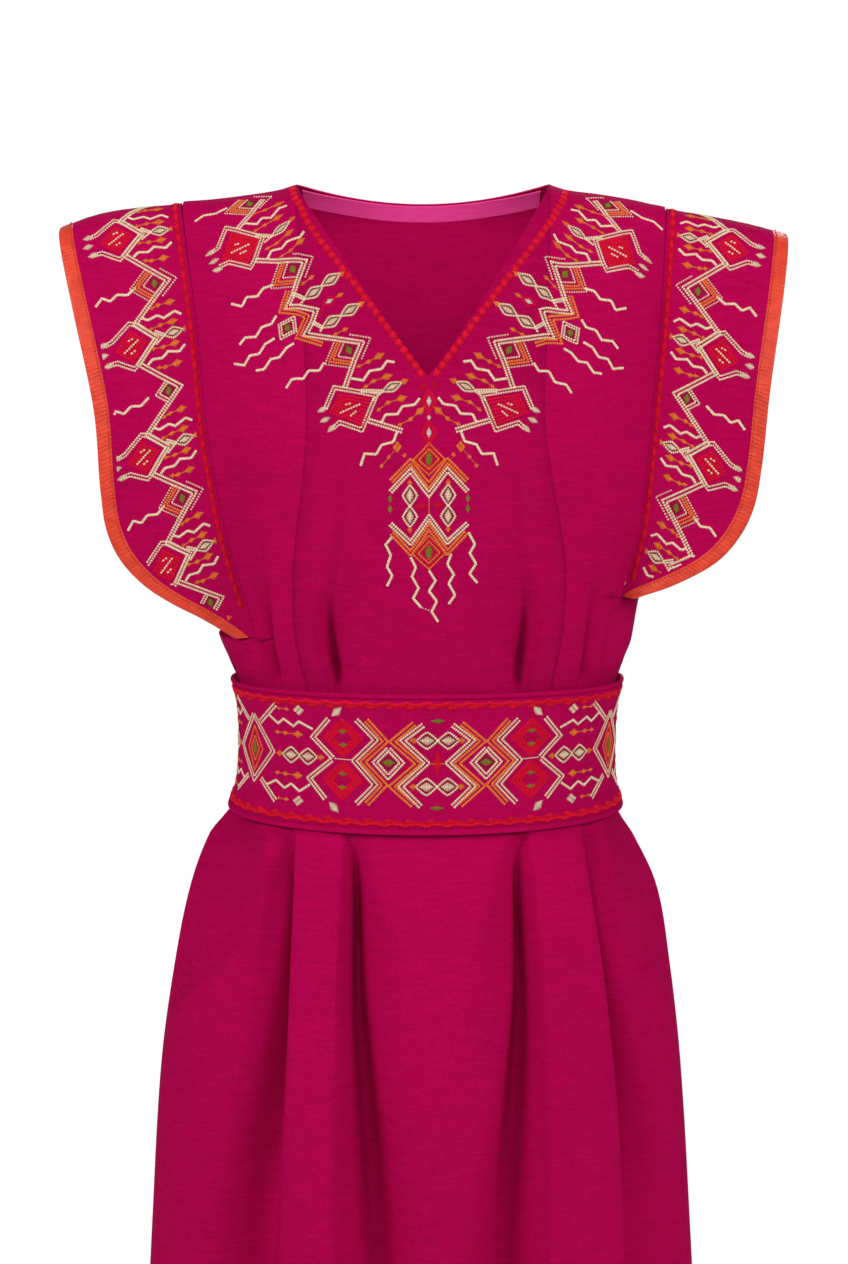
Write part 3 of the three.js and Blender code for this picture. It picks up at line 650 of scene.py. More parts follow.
# %% [markdown]
# ## Satin bindings
# A strip of satin is folded over each sleeve's raw edge and stitched down. Its section is a rounded
# flat bar, carried round the edge, so it catches a line of light along its fold.

# %% Bindings
def tube_faces(rings, around):
    """Side faces between rings of points and a fan-free cap of quads at each end."""
    a = (np.arange(rings - 1)[:, None] * around + np.arange(around)).ravel()
    b = (np.arange(rings - 1)[:, None] * around + (np.arange(around) + 1) % around).ravel()
    sides = np.stack([a, b, b + around, a + around], -1)
    k = np.arange(around // 2 - 1)
    cap = np.stack([k, around - 1 - k, around - 2 - k, k + 1], -1)
    return np.concatenate([sides, cap, (cap + (rings - 1) * around)[:, ::-1]])


def signed_power(v, power):
    """The sign of v times |v| to the power."""
    return np.sign(v) * np.abs(v) ** power


def make_binding(side, around=18):
    """A rounded bar, cos(t)^0.5 by sin(t)^0.7 with signs kept, with a groove where it is sewn."""
    row = sleeve_rows(side, 3.2)
    edges, normal = sleeve_surface(side, row, lambda w: np.stack([w - BINDING_WIDE, w], -1))
    across = unit(edges[:, 1] - edges[:, 0])
    centre = edges.mean(1) - CLOTH / 2 * normal
    turn = (np.arange(around) + 0.5) / around * 2 * np.pi
    wide = signed_power(np.cos(turn), 0.5) * BINDING_WIDE / 2
    thick = signed_power(np.sin(turn), 0.7) * CLOTH * (1 - 0.12 * bump(-3.6, 0.8, wide))
    points = centre[:, None] + across[:, None] * wide[:, None] + normal[:, None] * thick[:, None]
    round_it = np.broadcast_to(wide + thick, (len(row), around))
    uv = np.stack([round_it, np.repeat(lengths(centre)[:, None], around, 1)], -1)
    name = f"{side}_sleeve_binding"
    return put_piece(
        name, points.reshape(-1, 3), tube_faces(len(row), around), uv.reshape(-1, 2), node=name,
        slot="orange_satin", keep_sharp=60,
    )


right_binding = make_binding("right")
left_binding = make_binding("left")

# %% [markdown]
# ## Back neck facing
# Inside the back neckline lies a narrow band of the lighter wrong side of the cloth. It follows the
# inside of the back panel, a little off it, so it is made from that panel's own inner points.

# %% Facing
def make_facing(grid, inside, normals):
    """The inner points of the back within the neck and its first 13 mm, moved in by 0.8 mm and by 2 mm
    at the ends, and once more by the band's thickness of 1 mm."""
    columns = np.abs(grid[0, :, 0]) < NECK_HALF - 3
    height = inside[:, columns][:, columns.sum() // 2, 2]
    rows = np.abs(height - height[0]) < 13
    points, normals = inside[rows][:, columns], unit(normals[rows][:, columns])
    count = np.arange(points.shape[1])
    off = (0.8 + 1.2 * smooth(12, 0, np.minimum(count, count[::-1])))[None, :, None]
    outer, inner = points - off * normals, points - (off + 1) * normals
    name = "back_neck_facing"
    piece = wall_piece(name, outer, inner, cloth_uv(outer), node=name, slot="facing_cloth")
    measure(name, outer)
    return piece


facing = make_facing(*back_grids)

# %% [markdown]
# ## Belt
# A wide sash of doubled cloth with piped edges, wrapped once round the waist and lapped at the back.
# It follows the body's sections a few millimetres outside them.

# %% Belt
BELT_HIGH = 106
BELT_OFF, BELT_THICK = 3.1, 3.0
LAP_TURN, LAP_RISE = 0.115, 3.5


def belt_edges(turn):
    """Heights of the belt's top and bottom: a cosine from the back's to the front's."""
    front = (1 - np.cos(turn * 2 * np.pi)) / 2
    return mix(-391, -386, front), mix(-486, -495, front)


def belt_point(turn, share, off):
    """Point at a turn from the centre back, by the wearer's left, and a share of the way down: the
    section of the body there, moved outwards by the belt's offset and the rise of its lapped end."""
    top, bottom = belt_edges(turn)
    z = mix(top, bottom, share)
    angle = turn * 2 * np.pi
    back = np.cos(angle) > 0
    half = read(BODY, "half", z)
    deep = np.where(back, read(BODY, "back", z), read(BODY, "front", z))
    away = unit(np.stack([np.sin(angle) / half, np.cos(angle) / deep], -1))
    end = 1 + LAP_TURN / 2
    out = off + LAP_RISE * smooth(end - 1.9 * LAP_TURN, end - LAP_TURN, turn)
    x = read(BODY, "shift", z) + half * np.sin(angle) + away[..., 0] * out
    flat = np.where(back, 1, -1) * deep * np.abs(np.cos(angle)) ** FLATNESS
    return np.stack([x, flat + away[..., 1] * out, z + 0 * x], -1)


def make_belt():
    """The belt's wall: rows close together at the piped edges, sqrt(1 - t^2) high, even between."""
    turn = np.linspace(-LAP_TURN / 2, 1 + LAP_TURN / 2, 270)[:, None]
    down = np.array([0, 0.7, 1.6, 2.6, 3.5, 4.0, 4.4, 5.2, 7])
    down = np.concatenate([down, np.linspace(10, BELT_HIGH - 10, 18), BELT_HIGH - down[::-1]])
    near = np.minimum(down, BELT_HIGH - down)
    piping = 0.9 * np.sqrt(np.clip(1 - ((near - 2) / 2.1) ** 2, 0, 1)) - 0.5 * bump(4.4, 0.7, near)
    face = BELT_OFF + BELT_THICK - 0.9 + piping + 0.6 * smooth(4, 9, near)
    inner = belt_point(turn, down / BELT_HIGH, BELT_OFF + 0 * down)
    outer = belt_point(turn, down / BELT_HIGH, face)
    piece = wall_piece("belt", outer, inner, cloth_uv(outer), node="belt")
    measure("belt", outer)
    return piece


belt = make_belt()

# %% [markdown]
# ## Embroidery as real stitches
# The dress is embroidered in rows of short stitches: cream and orange lines two stitches wide, solid
# red squares, green leaves and long wavy tails. A painted texture would look flat from close by, so
# every stitch is a small rounded bump of thread. A stitch chart is drawn on flat paper, in
# millimetres, and each stitch is then laid on the cloth where its place on the paper falls.

# %% A chart of stitches
def steps_along(points, gap, closed=False):
    """Places at even steps along a path, with the direction of the path at each."""
    points = np.asarray(points, float)
    points = np.concatenate([points, points[:1]]) if closed else points
    length = lengths(points)
    count = max(int(round(length[-1] / gap)), 1)
    at = (np.arange(count) + 0.5) * length[-1] / count
    place = np.stack([np.interp(at, length, points[:, k]) for k in (0, 1)], -1)
    leg = np.clip(np.searchsorted(length, at, side="right") - 1, 0, len(points) - 2)
    return place, unit(np.diff(points, axis=0))[leg]


class Chart:
    """Stitches on flat paper: for each thread, rows of centre (2), half length along (2), half width."""

    def __init__(self):
        self.threads = {}

    def lay(self, thread, centre, along, wide):
        """Adds one row of numbers for each stitch."""
        wide = np.broadcast_to(wide, len(centre))
        self.threads.setdefault(thread, []).append(np.column_stack([centre, along, wide]))

    def row(self, thread, points, gap=1.9, wide=1.0, lean=0, closed=False, full=0.86):
        """Stitches end to end along a path, each turned by the lean from the path's direction."""
        centre, way = steps_along(points, gap, closed)
        self.lay(thread, centre, turned(way, lean) * gap / 2 * full, wide)

    def twin(self, thread, points, apart=1.3, lean=24, **row):
        """Two rows side by side, shifted to both sides of the path, that lean towards each other."""
        points = np.asarray(points, float)
        way = unit(np.diff(points, axis=0))
        ahead, behind = np.concatenate([way[:1], way]), np.concatenate([way, way[-1:]])
        half = unit(ahead + behind)
        side = np.stack([-half[:, 1], half[:, 0]], -1)
        side *= apart / np.clip(np.sum(half * ahead, 1), 0.5, 1)[:, None]
        self.row(thread, points + side, lean=lean, **row)
        self.row(thread, points - side, lean=-lean, **row)

    def patch(self, thread, corners, gap=1.15, longest=4.2, lean=0):
        """Satin stitches that fill a four-cornered shape, parallel to its first side or leaning to one
        side and the other in turn."""
        a, b, c, d = (np.asarray(p, float) for p in corners)
        lines = max(int(np.linalg.norm(d - a) / gap), 1)
        for t in (np.arange(lines) + 0.5) / lines:
            start, way = mix(a, d, t), mix(b, c, t) - mix(a, d, t)
            pieces = max(int(np.ceil(np.linalg.norm(way) / longest)), 1)
            cuts = (np.arange(pieces) + 0.5) / pieces
            half = np.tile(turned(way / pieces / 2, lean), (pieces, 1))
            self.lay(thread, start + way * cuts[:, None], half, gap * 0.52)
            lean = -lean

    def leaf(self, thread, centre, half_long, half_wide, lean=90, gap=0.95, power=1.3):
        """Satin stitches across a leaf, whose half width at t from -1 to 1 is 1 - |t|^power."""
        count = max(int(2 * half_long / gap), 3)
        t = ((np.arange(count) + 0.5) / count * 2 - 1)[:, None]
        axis, cross = turned(np.eye(2), lean)
        half = cross * half_wide * (1 - np.abs(t) ** power)
        self.lay(thread, np.asarray(centre) + axis * t * half_long, half, gap * 0.54)

    def lozenge(self, thread, centre, half_wide, half_high, lean=0, fill=True, **row):
        """A diamond by its half width and height, filled or as an outline."""
        wide, high = half_wide * np.array([1, 0]), half_high * np.array([0, 1])
        corners = np.asarray(centre) + turned(np.array([wide, high, -wide, -high]), lean)
        if fill:
            self.patch(thread, corners, **row)
        else:
            self.row(thread, corners, closed=True, **row)

    def mirrored(self):
        """This chart and its mirror image across u = 0."""
        both = Chart()
        flip = np.array([-1, 1, -1, 1, 1])
        both.threads = {name: rows + [r * flip for r in rows] for name, rows in self.threads.items()}
        return both

    def add(self, other, shift=(0, 0)):
        """Adds all stitches of another chart, moved by the shift."""
        move = np.array([*shift, 0, 0, 0])
        for name, rows in other.threads.items():
            self.threads.setdefault(name, []).extend([r + move for r in rows])

    def keep(self, inside):
        """Drops the stitches whose u and v aren't inside."""
        for name, parts in self.threads.items():
            self.threads[name] = [rows[inside(rows[:, 0], rows[:, 1])] for rows in parts]

    def rows(self, name):
        """All stitches of a thread as one table."""
        return np.concatenate(self.threads[name])


# %% From the chart to bumps of thread on the cloth
STITCH_ALONG = np.array([-1, 0, 1])
STITCH_SIZE = np.array([0.5, 1.15, 0.5])
STITCH_ACROSS = np.array([-1, -0.55, 0.55, 1])
STITCH_UP = np.array([-0.25, 0.75, 0.75, -0.25])


def directions(surface, u, v, facing):
    """Where a millimetre of paper along u and along v leads on the cloth, and the cloth's outward unit
    normal, which is their cross product."""
    du = surface(u + 0.5, v) - surface(u - 0.5, v)
    dv = surface(u, v + 0.5) - surface(u, v - 0.5)
    return du, dv, unit(np.cross(du, dv)) * facing


def thread_piece(name, rows, surface, facing, high):
    """One piece of all stitches of a thread. Each stitch has three rings of four points: along it by
    its half length, across by its half width and up by its height, on the cloth's own directions.
    Its UV is its number plus its place across, and the length along it, for the thread's material."""
    u, v = rows[:, 0], rows[:, 1]
    place = surface(u, v)
    du, dv, normal = directions(surface, u, v, facing)
    along = du * rows[:, 2:3] + dv * rows[:, 3:4]
    across = unit(np.cross(normal, along)) * rows[:, 4:5]
    place, along, across, normal = (a[:, None, None] for a in (place, along, across, normal))
    section = across * STITCH_ACROSS[:, None] + normal * high * STITCH_UP[:, None]
    points = place + along * STITCH_ALONG[:, None, None] + section * STITCH_SIZE[:, None, None]
    points = points.reshape(-1, 3)
    rings, size = len(STITCH_ALONG), 4 * len(STITCH_ALONG)
    faces = (tube_faces(rings, 4)[None] + size * np.arange(len(rows))[:, None, None]).reshape(-1, 4)
    number = np.repeat(np.arange(len(rows)), size) + 0.5 + 0.4 * np.tile(STITCH_ACROSS, rings * len(rows))
    run = np.tile(np.repeat(STITCH_ALONG, 4), len(rows)) * np.repeat(np.hypot(rows[:, 2], rows[:, 3]), size)
    uv = np.stack([number, run], -1)
    print(f"{name}: {len(rows)} stitches, {2 * len(faces)} triangles")
    return put_piece(name, points, faces, uv, slot=None, keep_sharp=80)


SEWN = []
FLAT_STITCH, RAISED_STITCH = 0.6, 1.1


def sew(region, chart, surface, facing=1):
    """One piece for each thread of the chart; threads that lie over others stand up more."""
    for thread in chart.threads:
        high = RAISED_STITCH if thread.endswith("_over") else FLAT_STITCH
        piece = thread_piece(f"{region}_{thread}_stitches", chart.rows(thread), surface, facing, high)
        SEWN.append((thread, piece))


# %% [markdown]
# ## From flat paper to the front of the dress
# Over the shoulder the cloth runs nearly level, so a drop of ten millimetres there is thirty along
# the cloth. A chart in cloth lengths keeps its stitches the same size everywhere: u is the distance
# from the centre line, towards the wearer's right, and v the length down the cloth from its ridge.

# %% Lengths down the cloth
CENTRE_X = 4.6
PAPER_HALF, PAPER_STEP, PAPER_LONG = 200, 5.0, 480
PAPER_U = np.arange(-PAPER_HALF, PAPER_HALF + 1, PAPER_STEP)


def heights_by_length():
    """For each u a list of heights at every whole length: the running sum of the steps of a column of
    surface points is turned round, from height to length into length to height."""
    x = CENTRE_X - PAPER_U[:, None]
    z = shoulder_z(x) - 0.01 - 440 * np.linspace(0, 1, 700)[None, :] ** 2
    steps = np.linalg.norm(np.diff(dress_point(-1, angle_at(x, z), z), axis=1), axis=-1)
    length = np.concatenate([np.zeros((len(x), 1)), np.cumsum(steps, 1)], 1)
    whole = np.arange(0.0, PAPER_LONG)
    return np.stack([np.interp(whole, run, column) for run, column in zip(length, z)])


PAPER_Z = heights_by_length()


def front_cloth(u, v):
    """The point of the front at u and v, its height read from the table by straight lines both ways."""
    i = np.clip((u + PAPER_HALF) / PAPER_STEP, 0, len(PAPER_U) - 1.001)
    j = np.clip(v, 0, PAPER_LONG - 1.1)
    a, b = i.astype(int), j.astype(int)
    top = mix(PAPER_Z[a, b], PAPER_Z[a + 1, b], i - a)
    low = mix(PAPER_Z[a, b + 1], PAPER_Z[a + 1, b + 1], i - a)
    z = mix(top, low, j - b)
    return dress_point(-1, angle_at(CENTRE_X - u, z), z)


centre_heights = PAPER_Z[len(PAPER_U) // 2]
print("length down the cloth to the V's tip, mm:", int(np.argmin(np.abs(centre_heights - V_TIP_Z))))

# %% [markdown]
# ## Ornaments that come back
# The same few shapes make up all three bands: wavy tails, strings of diamonds, leaves on a fork,
# square eyes in the corners of the zigzag and red squares between them. Each is drawn once here.

# %% Shared ornaments
def lens(centre, half_long, half_wide, lean):
    """Outline of a leaf: half width 1 - |t|^1.25 on both sides of its axis."""
    t = np.linspace(-1, 1, 9)
    there = np.stack([t * half_long, half_wide * (1 - np.abs(t) ** 1.25)], -1)
    return turned(np.concatenate([there, there[-2:0:-1] * [1, -1]]), lean) + centre


def lean_of(start, end):
    """Degrees from the u axis to the line from start to end: the arc tangent of its rise and run."""
    return np.degrees(np.arctan2(end[1] - start[1], end[0] - start[0]))


def cream_leaf(chart, centre, half_long, half_wide, lean):
    """A cream leaf with a brown line inside its border."""
    inside = lens(centre, half_long * 0.76, half_wide * 0.68, lean)
    chart.row("cream", lens(centre, half_long, half_wide, lean), gap=1.8, wide=0.95, closed=True)
    chart.row("brown", inside, gap=1.5, wide=0.3, closed=True)
    chart.leaf("cream", centre, half_long * 0.66, half_wide * 0.54, lean, gap=1.1)


def forked_leaf(chart, fork, other, *centres_and_tip, size=(8.2, 4.3)):
    """Two short rows from the band join in one or two leaves that end in an orange tip."""
    *centres, tip = centres_and_tip
    lean = lean_of(centres[0], tip)
    join = np.asarray(centres[0]) - turned(np.array([size[0], 0]), lean)
    chart.twin("cream", [fork, join], apart=0.8)
    chart.row("cream", [other, join], wide=1.0)
    for centre in centres:
        cream_leaf(chart, centre, *size, lean)
    chart.leaf("orange", tip, 3.6, 2.4, lean)


def tails(chart, *paths):
    """Wavy cream lines, each one row of stitches that overlap a little."""
    for path in paths:
        chart.row("cream", path, gap=1.7, wide=1.15, full=1.1)


def diamonds(chart, points, sizes=((2.7, 1.7), (3.0, 2.0), (4.8, 3.0))):
    """A string of filled orange diamonds, turned along their path."""
    for k, (point, size) in enumerate(zip(points, sizes)):
        near = points[k + 1] if k + 1 < len(points) else points[k - 1]
        lean = lean_of(point, near)
        chart.leaf("orange", point, *size, lean, gap=1.0, power=1.0)
        if k + 1 < len(points):
            chart.row("orange", [point, near], gap=2, wide=0.45)


def eye(chart, corner, first, second, big=True, apart=1.0):
    """A square eye in a corner of the zigzag: coordinates a and b run from the corner along its legs."""
    corner = np.asarray(corner, float)
    e1, e2 = unit(np.asarray(first, float) - corner), unit(np.asarray(second, float) - corner)
    at = lambda a, b: corner + (a * e1 + b * e2) * apart
    elbow = lambda q, start: [at(q, start), at(q, q), at(start, q)]
    if big:
        chart.row("cream", elbow(13.3, 1), gap=1.7, wide=0.75, full=0.75)
        chart.twin("orange", elbow(17.1, 1.5), apart=1.05, wide=0.9, gap=1.8)
        chart.row("cream", elbow(20.6, 1), gap=2.0, wide=0.7, full=0.6)
        chart.row("cream", [at(12, -4.8), at(-4.8, -4.8), at(-4.8, 13)], gap=2.0, wide=0.75, full=0.62)
        middle, half = 7.2, 3.4
    else:
        chart.twin("cream", elbow(14, 1), apart=1.1, wide=0.8, gap=1.8)
        middle, half = 7.2, 3.6
    ring = [at(middle + half * a, middle + half * b) for a, b in ((-1, -1), (1, -1), (1, 1), (-1, 1))]
    chart.row("brown", ring, gap=1.6, wide=0.45, closed=True)
    chart.leaf("olive", at(middle, middle), 4.0, 2.5, lean_of(at(0, 12), at(12, 0)))


def red_square(chart, corners, frame, strokes, leaves):
    """A solid red square in a cream frame that ends in small leaves, with cream strokes over it."""
    chart.patch("red", corners, gap=1.75, longest=2.5, lean=28)
    chart.twin("cream", frame, apart=1.2, wide=0.82, gap=1.9)
    for start, end in strokes:
        chart.row("cream_over", [start, end], gap=2.2, wide=0.85)
    for place, lean in leaves:
        chart.leaf("cream", place, 4.2, 2.2, lean, power=1.6)


# %% [markdown]
# ## The band along the neck
# From each shoulder a zigzag of two cream rows runs down beside the V and meets its twin under the
# tip. Eyes sit in its corners, a red square near the shoulder and another beside the tip, and leaves,
# strings of diamonds and tails point towards the V and away from it. One half is drawn and mirrored.

# %% Neck band
def neck_band():
    """The wearer's right half: zigzag and eyes, red squares, strings of diamonds, tails and leaves."""
    half = Chart()
    half.twin("cream", [[129, 20], [138, 36], [148, 48]])
    half.twin("cream", [
        [134, 80], [99, 93], [95, 94], [104, 119], [108, 127], [86, 134], [89, 143], [94, 152], [78, 156],
        [51, 162], [57, 176], [64, 196],
    ])
    half.twin("orange", [[108, 114], [113, 128], [93, 138], [100, 153], [81, 161]], wide=1.0)
    eye(half, (129, 20), (152, 11), (148, 48), apart=0.95)
    eye(half, (95, 94), (122, 85), (104, 119))
    eye(half, (51, 162), (78, 156), (57, 176))
    diamond_eye = (108, 143)
    for size in (8.8, 6.2):
        half.lozenge("cream", diamond_eye, size, size, lean=52, fill=False, wide=0.8)
    half.lozenge("brown", diamond_eye, 4.2, 4.2, lean=52, fill=False, gap=1.6, wide=0.4)
    half.leaf("olive", diamond_eye, 3.4, 2.3, 110)
    red_square(
        half, [(153, 49), (130, 63), (139, 81), (160, 71)],
        [(168, 62), (163, 60), (157, 44), (150, 48), (128, 62), (134, 80), (137, 85), (154, 75), (162, 76)],
        [((153, 68), (138, 65)), ((150, 62), (146, 62)), ((146, 71), (140, 70))],
        [((169, 62), 20), ((166, 70), 10), ((163, 78), -10)],
    )
    red_square(
        half, [(69, 200), (44, 205), (50, 227), (76, 214)],
        [(79, 211), (72, 195), (40, 203), (51, 229), (68, 222), (73, 226)],
        [((68, 215), (52, 209)), ((64, 209), (59, 208)), ((60, 218), (55, 214))],
        [((81, 211), 20), ((79, 219), 20), ((74, 226), 40)],
    )
    for path in (
        [[137, 37], [127, 35], [117, 32]], [[134, 54], [127, 51], [117, 47]],
        [[124, 73], [117, 71], [108, 66]], [[113, 84], [106, 82], [99, 77]],
        [[96, 112], [90, 108]], [[71, 154], [64, 151]], [[53, 180], [46, 177], [38, 173]],
        [[48, 196], [42, 192], [32, 189]], [[38, 214], [31, 209], [21, 206]],
        [[22, 226], [14, 222], [7, 216]],
    ):
        diamonds(half, path)
    tails(
        half,
        [[143, 44], [133, 48], [129, 43], [122, 45], [116, 37], [110, 37]],
        [[124, 82], [121, 76], [113, 77], [109, 73], [99, 73], [96, 68]],
        [[157, 23], [166, 27], [175, 26], [182, 30]],
        [[119, 105], [127, 105], [131.5, 110], [140, 108], [143.5, 114], [152, 109]],
        [[116.7, 130], [120.5, 135], [128, 135], [132.5, 141], [141, 139], [145.4, 143]],
        [[118, 147], [125.3, 149], [130, 155], [137.3, 154], [141.6, 160], [149.7, 156]],
        [[103, 157], [108.5, 158], [114.3, 163], [121, 162], [126, 168], [132.5, 167]],
        [[79.8, 175], [83.6, 181], [91.7, 180], [96, 186], [104.7, 184], [109, 189]],
        [[59, 189], [50, 191], [45, 184], [36, 183], [32, 177], [26, 178]],
        [[36, 224], [33, 218], [24, 218], [20, 212], [11, 211], [7, 206]],
        [[24, 231], [27, 239], [36, 241], [40, 248], [49, 247], [52, 256]],
    )
    forked_leaf(half, (134, 58), (127, 67), (114, 59), (106, 54), size=(8, 3.6))
    forked_leaf(half, (105, 118), (99, 129), (88, 120), (75, 111), (67, 107))
    forked_leaf(half, (89, 143), (83, 151), (74, 144), (60, 136), (52, 132))
    forked_leaf(half, (52, 199), (43, 207), (28, 197), (19, 193), size=(8, 3.6))
    half.row("red", lens((76, 128), 5.6, 3.6, 205), gap=1.7, wide=0.85, closed=True)
    half.leaf("white", (76, 128), 3.2, 1.9, 205)
    half.leaf("orange", (68, 124), 3.4, 1.8, 205)
    half.row("red", [[81, 133], [84, 140]], gap=1.7, wide=0.8)
    half.twin("cream", [[46, 222], [20, 231]])
    return half


def neck_braid():
    """Red braid beside the V: two leaning rows, and a small flower of stitches every 7.4 mm."""
    half = Chart()
    edge = np.array([
        [108, 6], [104, 30], [94, 58], [84, 76], [74, 91], [58, 114], [44, 134], [24, 162], [14, 176],
        [4, 190],
    ])
    for off, lean in ((1.2, 44), (-1.2, -44)):
        half.row("scarlet", edge + [off, 0], gap=2.3, wide=0.85, lean=lean, full=1.15)
    for place, way in zip(*steps_along(edge, 7.4)):
        for lean in (10, 70, 130):
            half.lay("red_over", place[None], 3.2 * turned(way, lean)[None], 1.15)
    return half


# %% [markdown]
# ## The motif under the V
# Below the tip hang two red lozenges, a diamond eye, and two facing zigzags with four leaves
# between them, and five wavy tails run down from it over the bust.

# %% Centre motif
def zigzag(half_path):
    """The whole of a zigzag from its half with u at least 0, outermost point first."""
    path = np.asarray(half_path, float)
    return np.concatenate([path, (path[:-1] * [-1, 1])[::-1]])


def centre_motif():
    """From the top down: red lozenges, diamond eyes with zigzags and leaves between them, and tails."""
    half, whole = Chart(), Chart()
    for v in (209, 233):
        for size in (1, 0.72):
            whole.row("red", lens((0, v), 8.4 * size, 5.6 * size, 90), gap=1.8, wide=0.9, closed=True)
        whole.leaf("white", (0, v), 4.2, 2.2, 90, power=1.1)
    whole.leaf("cream", (0, 221.5), 2.0, 1.8, 90)
    for u in (-1, 1):
        whole.leaf("scarlet", (4.4 * u, 197), 4.0, 3.0, 90 - 30 * u, power=1.8)
    for v, half_size in ((253, 12), (324, 13)):
        for share, thread in ((1, "orange"), (0.82, "red"), (0.64, "orange"), (0.48, "red")):
            size = half_size * share
            whole.lozenge(thread, (0, v), size, size, fill=False, gap=1.8, wide=0.75)
        whole.leaf("olive", (0, v), 6.0, 2.9, 90, power=1.5)
    for thread, apart, wide, path in (
        ("orange", 1.3, 1.1, [[29, 269], [14, 254], [0, 273]]),
        ("cream", 1.2, 1.0, [[29.5, 277], [14, 261], [0, 280]]),
        ("cream", 1.2, 1.0, [[29.5, 301], [14, 316], [0, 297]]),
        ("orange", 1.3, 1.1, [[28.5, 308], [14, 324], [0, 304.5]]),
    ):
        whole.twin(thread, zigzag(path), apart=apart, wide=wide)
    whole.row("orange", [[0, 282], [0, 295]], gap=1.9, wide=0.5)
    for v in (280, 296):
        cream_leaf(half, (14.5, v), 8.0, 5.4, 90)
    for v in (270.5, 306):
        half.leaf("orange", (14.5, v), 2.6, 2.0, 90)
    half.leaf("red", (6.2, 288), 4.6, 2.2, 0, power=1.8)
    for v in (282, 290):
        half.leaf("olive", (29.5, v), 3.2, 2.0, 90, power=1)
    half.lozenge("orange", (24, 243), 3.6, 4.6)
    for place in ((30.5, 250.5), (36, 257), (18.5, 249.5)):
        half.lozenge("orange", place, 1.9, 2.2)
    half.row("orange", [[24, 243], [36, 257]], gap=2, wide=0.35)
    whole.add(half.mirrored())
    tails(
        whole, [[28, 311], [33, 317], [29, 325], [32, 334], [28, 341], [32, 349]],
        [[14, 327], [10, 335], [13, 342], [8, 351], [12, 359], [6, 366]],
    )
    whole.row("cream", [[6, 366], [0, 369], [-3, 370]], gap=2.2, wide=0.55, full=0.6)
    tails(
        whole, [[0, 338], [-5, 346], [0, 354], [-6, 362], [-2, 370], [-7, 378]],
        [[-17, 325], [-14, 333], [-19, 341], [-15, 348], [-20, 357], [-15, 364]],
        [[-30, 308], [-35, 317], [-31, 324], [-36, 332], [-31, 340], [-37, 347]],
    )
    return whole


front_chart = neck_band().mirrored()
front_chart.add(neck_braid().mirrored())
front_chart.add(centre_motif())
sew("front", front_chart, front_cloth)

# %% [markdown]
# ## The bands on the sleeves
# The sleeves carry the same zigzag, 84 mm from one red square to the next, running over the shoulder
# from front to back and cut off by the satin where the sleeve narrows. Along the armhole seam lies a
# braid of small red leaves. Here u is the distance from the seam, v the length from the shoulder.

# %% Sleeve bands
BAY_LONG = 84
BAND_HALF = {"right": 344, "left": 312}


def sleeve_cloth(side):
    """Chart to sleeve: its strip is sampled densely, and each stitch reads its seam point, its width's
    direction, its normal and its bow at its own length along the sleeve."""
    row = np.linspace(-ARMHOLE_END[side], ARMHOLE_END[side], 900)
    inner, outer, normal, bow = sleeve_strip(side, row)
    width = np.linalg.norm(outer - inner, axis=1)
    run = lengths(inner + (outer - inner) * 0.35)
    run = np.interp(0, row, run) - run
    order = run[::-1]
    at = lambda v, values: np.interp(v, order, values[::-1])
    at3 = lambda v, values: np.stack([at(v, values[:, k]) for k in range(3)], -1)

    def surface(u, v):
        """The seam point at v, moved by u across the sleeve and lifted along the normal."""
        across = unit(at3(v, outer - inner))
        share = np.clip(u / at(v, width), 0, 1)
        lift = at(v, bow) * np.sin(np.pi * share**BOW_POWER)
        return at3(v, inner) + across * u[:, None] + unit(at3(v, normal)) * lift[:, None]

    return surface, lambda v: at(v, width)


def sleeve_bay(big):
    """From one red square at v = 0 to the eye at v = 42 and on to the next square."""
    bay = Chart()
    bay.twin("cream", [[33, 0], [49, 15], [18, 42.5], [48, 69], [33, 84]])
    red_square(
        bay, [(53, -12), (40, 0), (53, 13), (67, 1)],
        [(74, -6), (68, -7), (53, -16.5), (49, -15), (33, 0), (49, 15), (53, 17.5), (66, 9), (72, 9)],
        [((60, 4), (47, -3)), ((56, -4), (51, -5)), ((55, 6), (50, 4))],
        [((75, -6.5), 0), ((76, 1), 0), ((73, 9), 0)],
    )
    eye(bay, (18, 42.5), (49, 15), (48, 69), big, apart=1.0 if big else 0.9)
    forked_leaf(bay, (34, -5), (34, 5), (19, 0), (9.5, 0), size=(7.5, 4.2))
    for v, way in ((8.5, 1), (24, 1), (60, -1), (75.5, -1)):
        diamonds(bay, [[36 if v in (8.5, 75.5) else 33, v - way], [28.5, v], [19, v]])
    wavy = np.array([[42, 0], [38, -3], [30, -1.5], [25, -5], [16, -2], [11, -6]])
    tails(
        bay, wavy + [0, 18], wavy * [1, -1] + [0, 66],
        [[44, 42], [51, 46], [59, 43.5], [65, 47], [71, 43], [77, 48]],
    )
    return bay


def sleeve_band(side):
    """Ten bays cut off 3 mm before the satin, and the braid along the armhole."""
    surface, width = sleeve_cloth(side)
    chart = Chart()
    for k in range(-5, 5):
        chart.add(sleeve_bay(k % 2 == 0), shift=(0, 35 + BAY_LONG * k))
    chart.keep(lambda u, v: (u > 9) & (u < width(v) - BINDING_WIDE - 3))
    end = BAND_HALF[side]
    for v in np.arange(-end, end, 10.5):
        chart.leaf("red_over", (5.0, v), 4.6, 2.7, 90, gap=1.2)
    for u, lean in ((3.9, 30), (6.1, -30)):
        chart.row("scarlet", [[u, -end], [u, end]], gap=2.3, wide=0.8, lean=lean, full=1.1)
    sew(f"{side}_sleeve", chart, surface, facing=-SIGN[side])
    return surface, width


sleeve_maps = {side: sleeve_band(side) for side in SIGN}

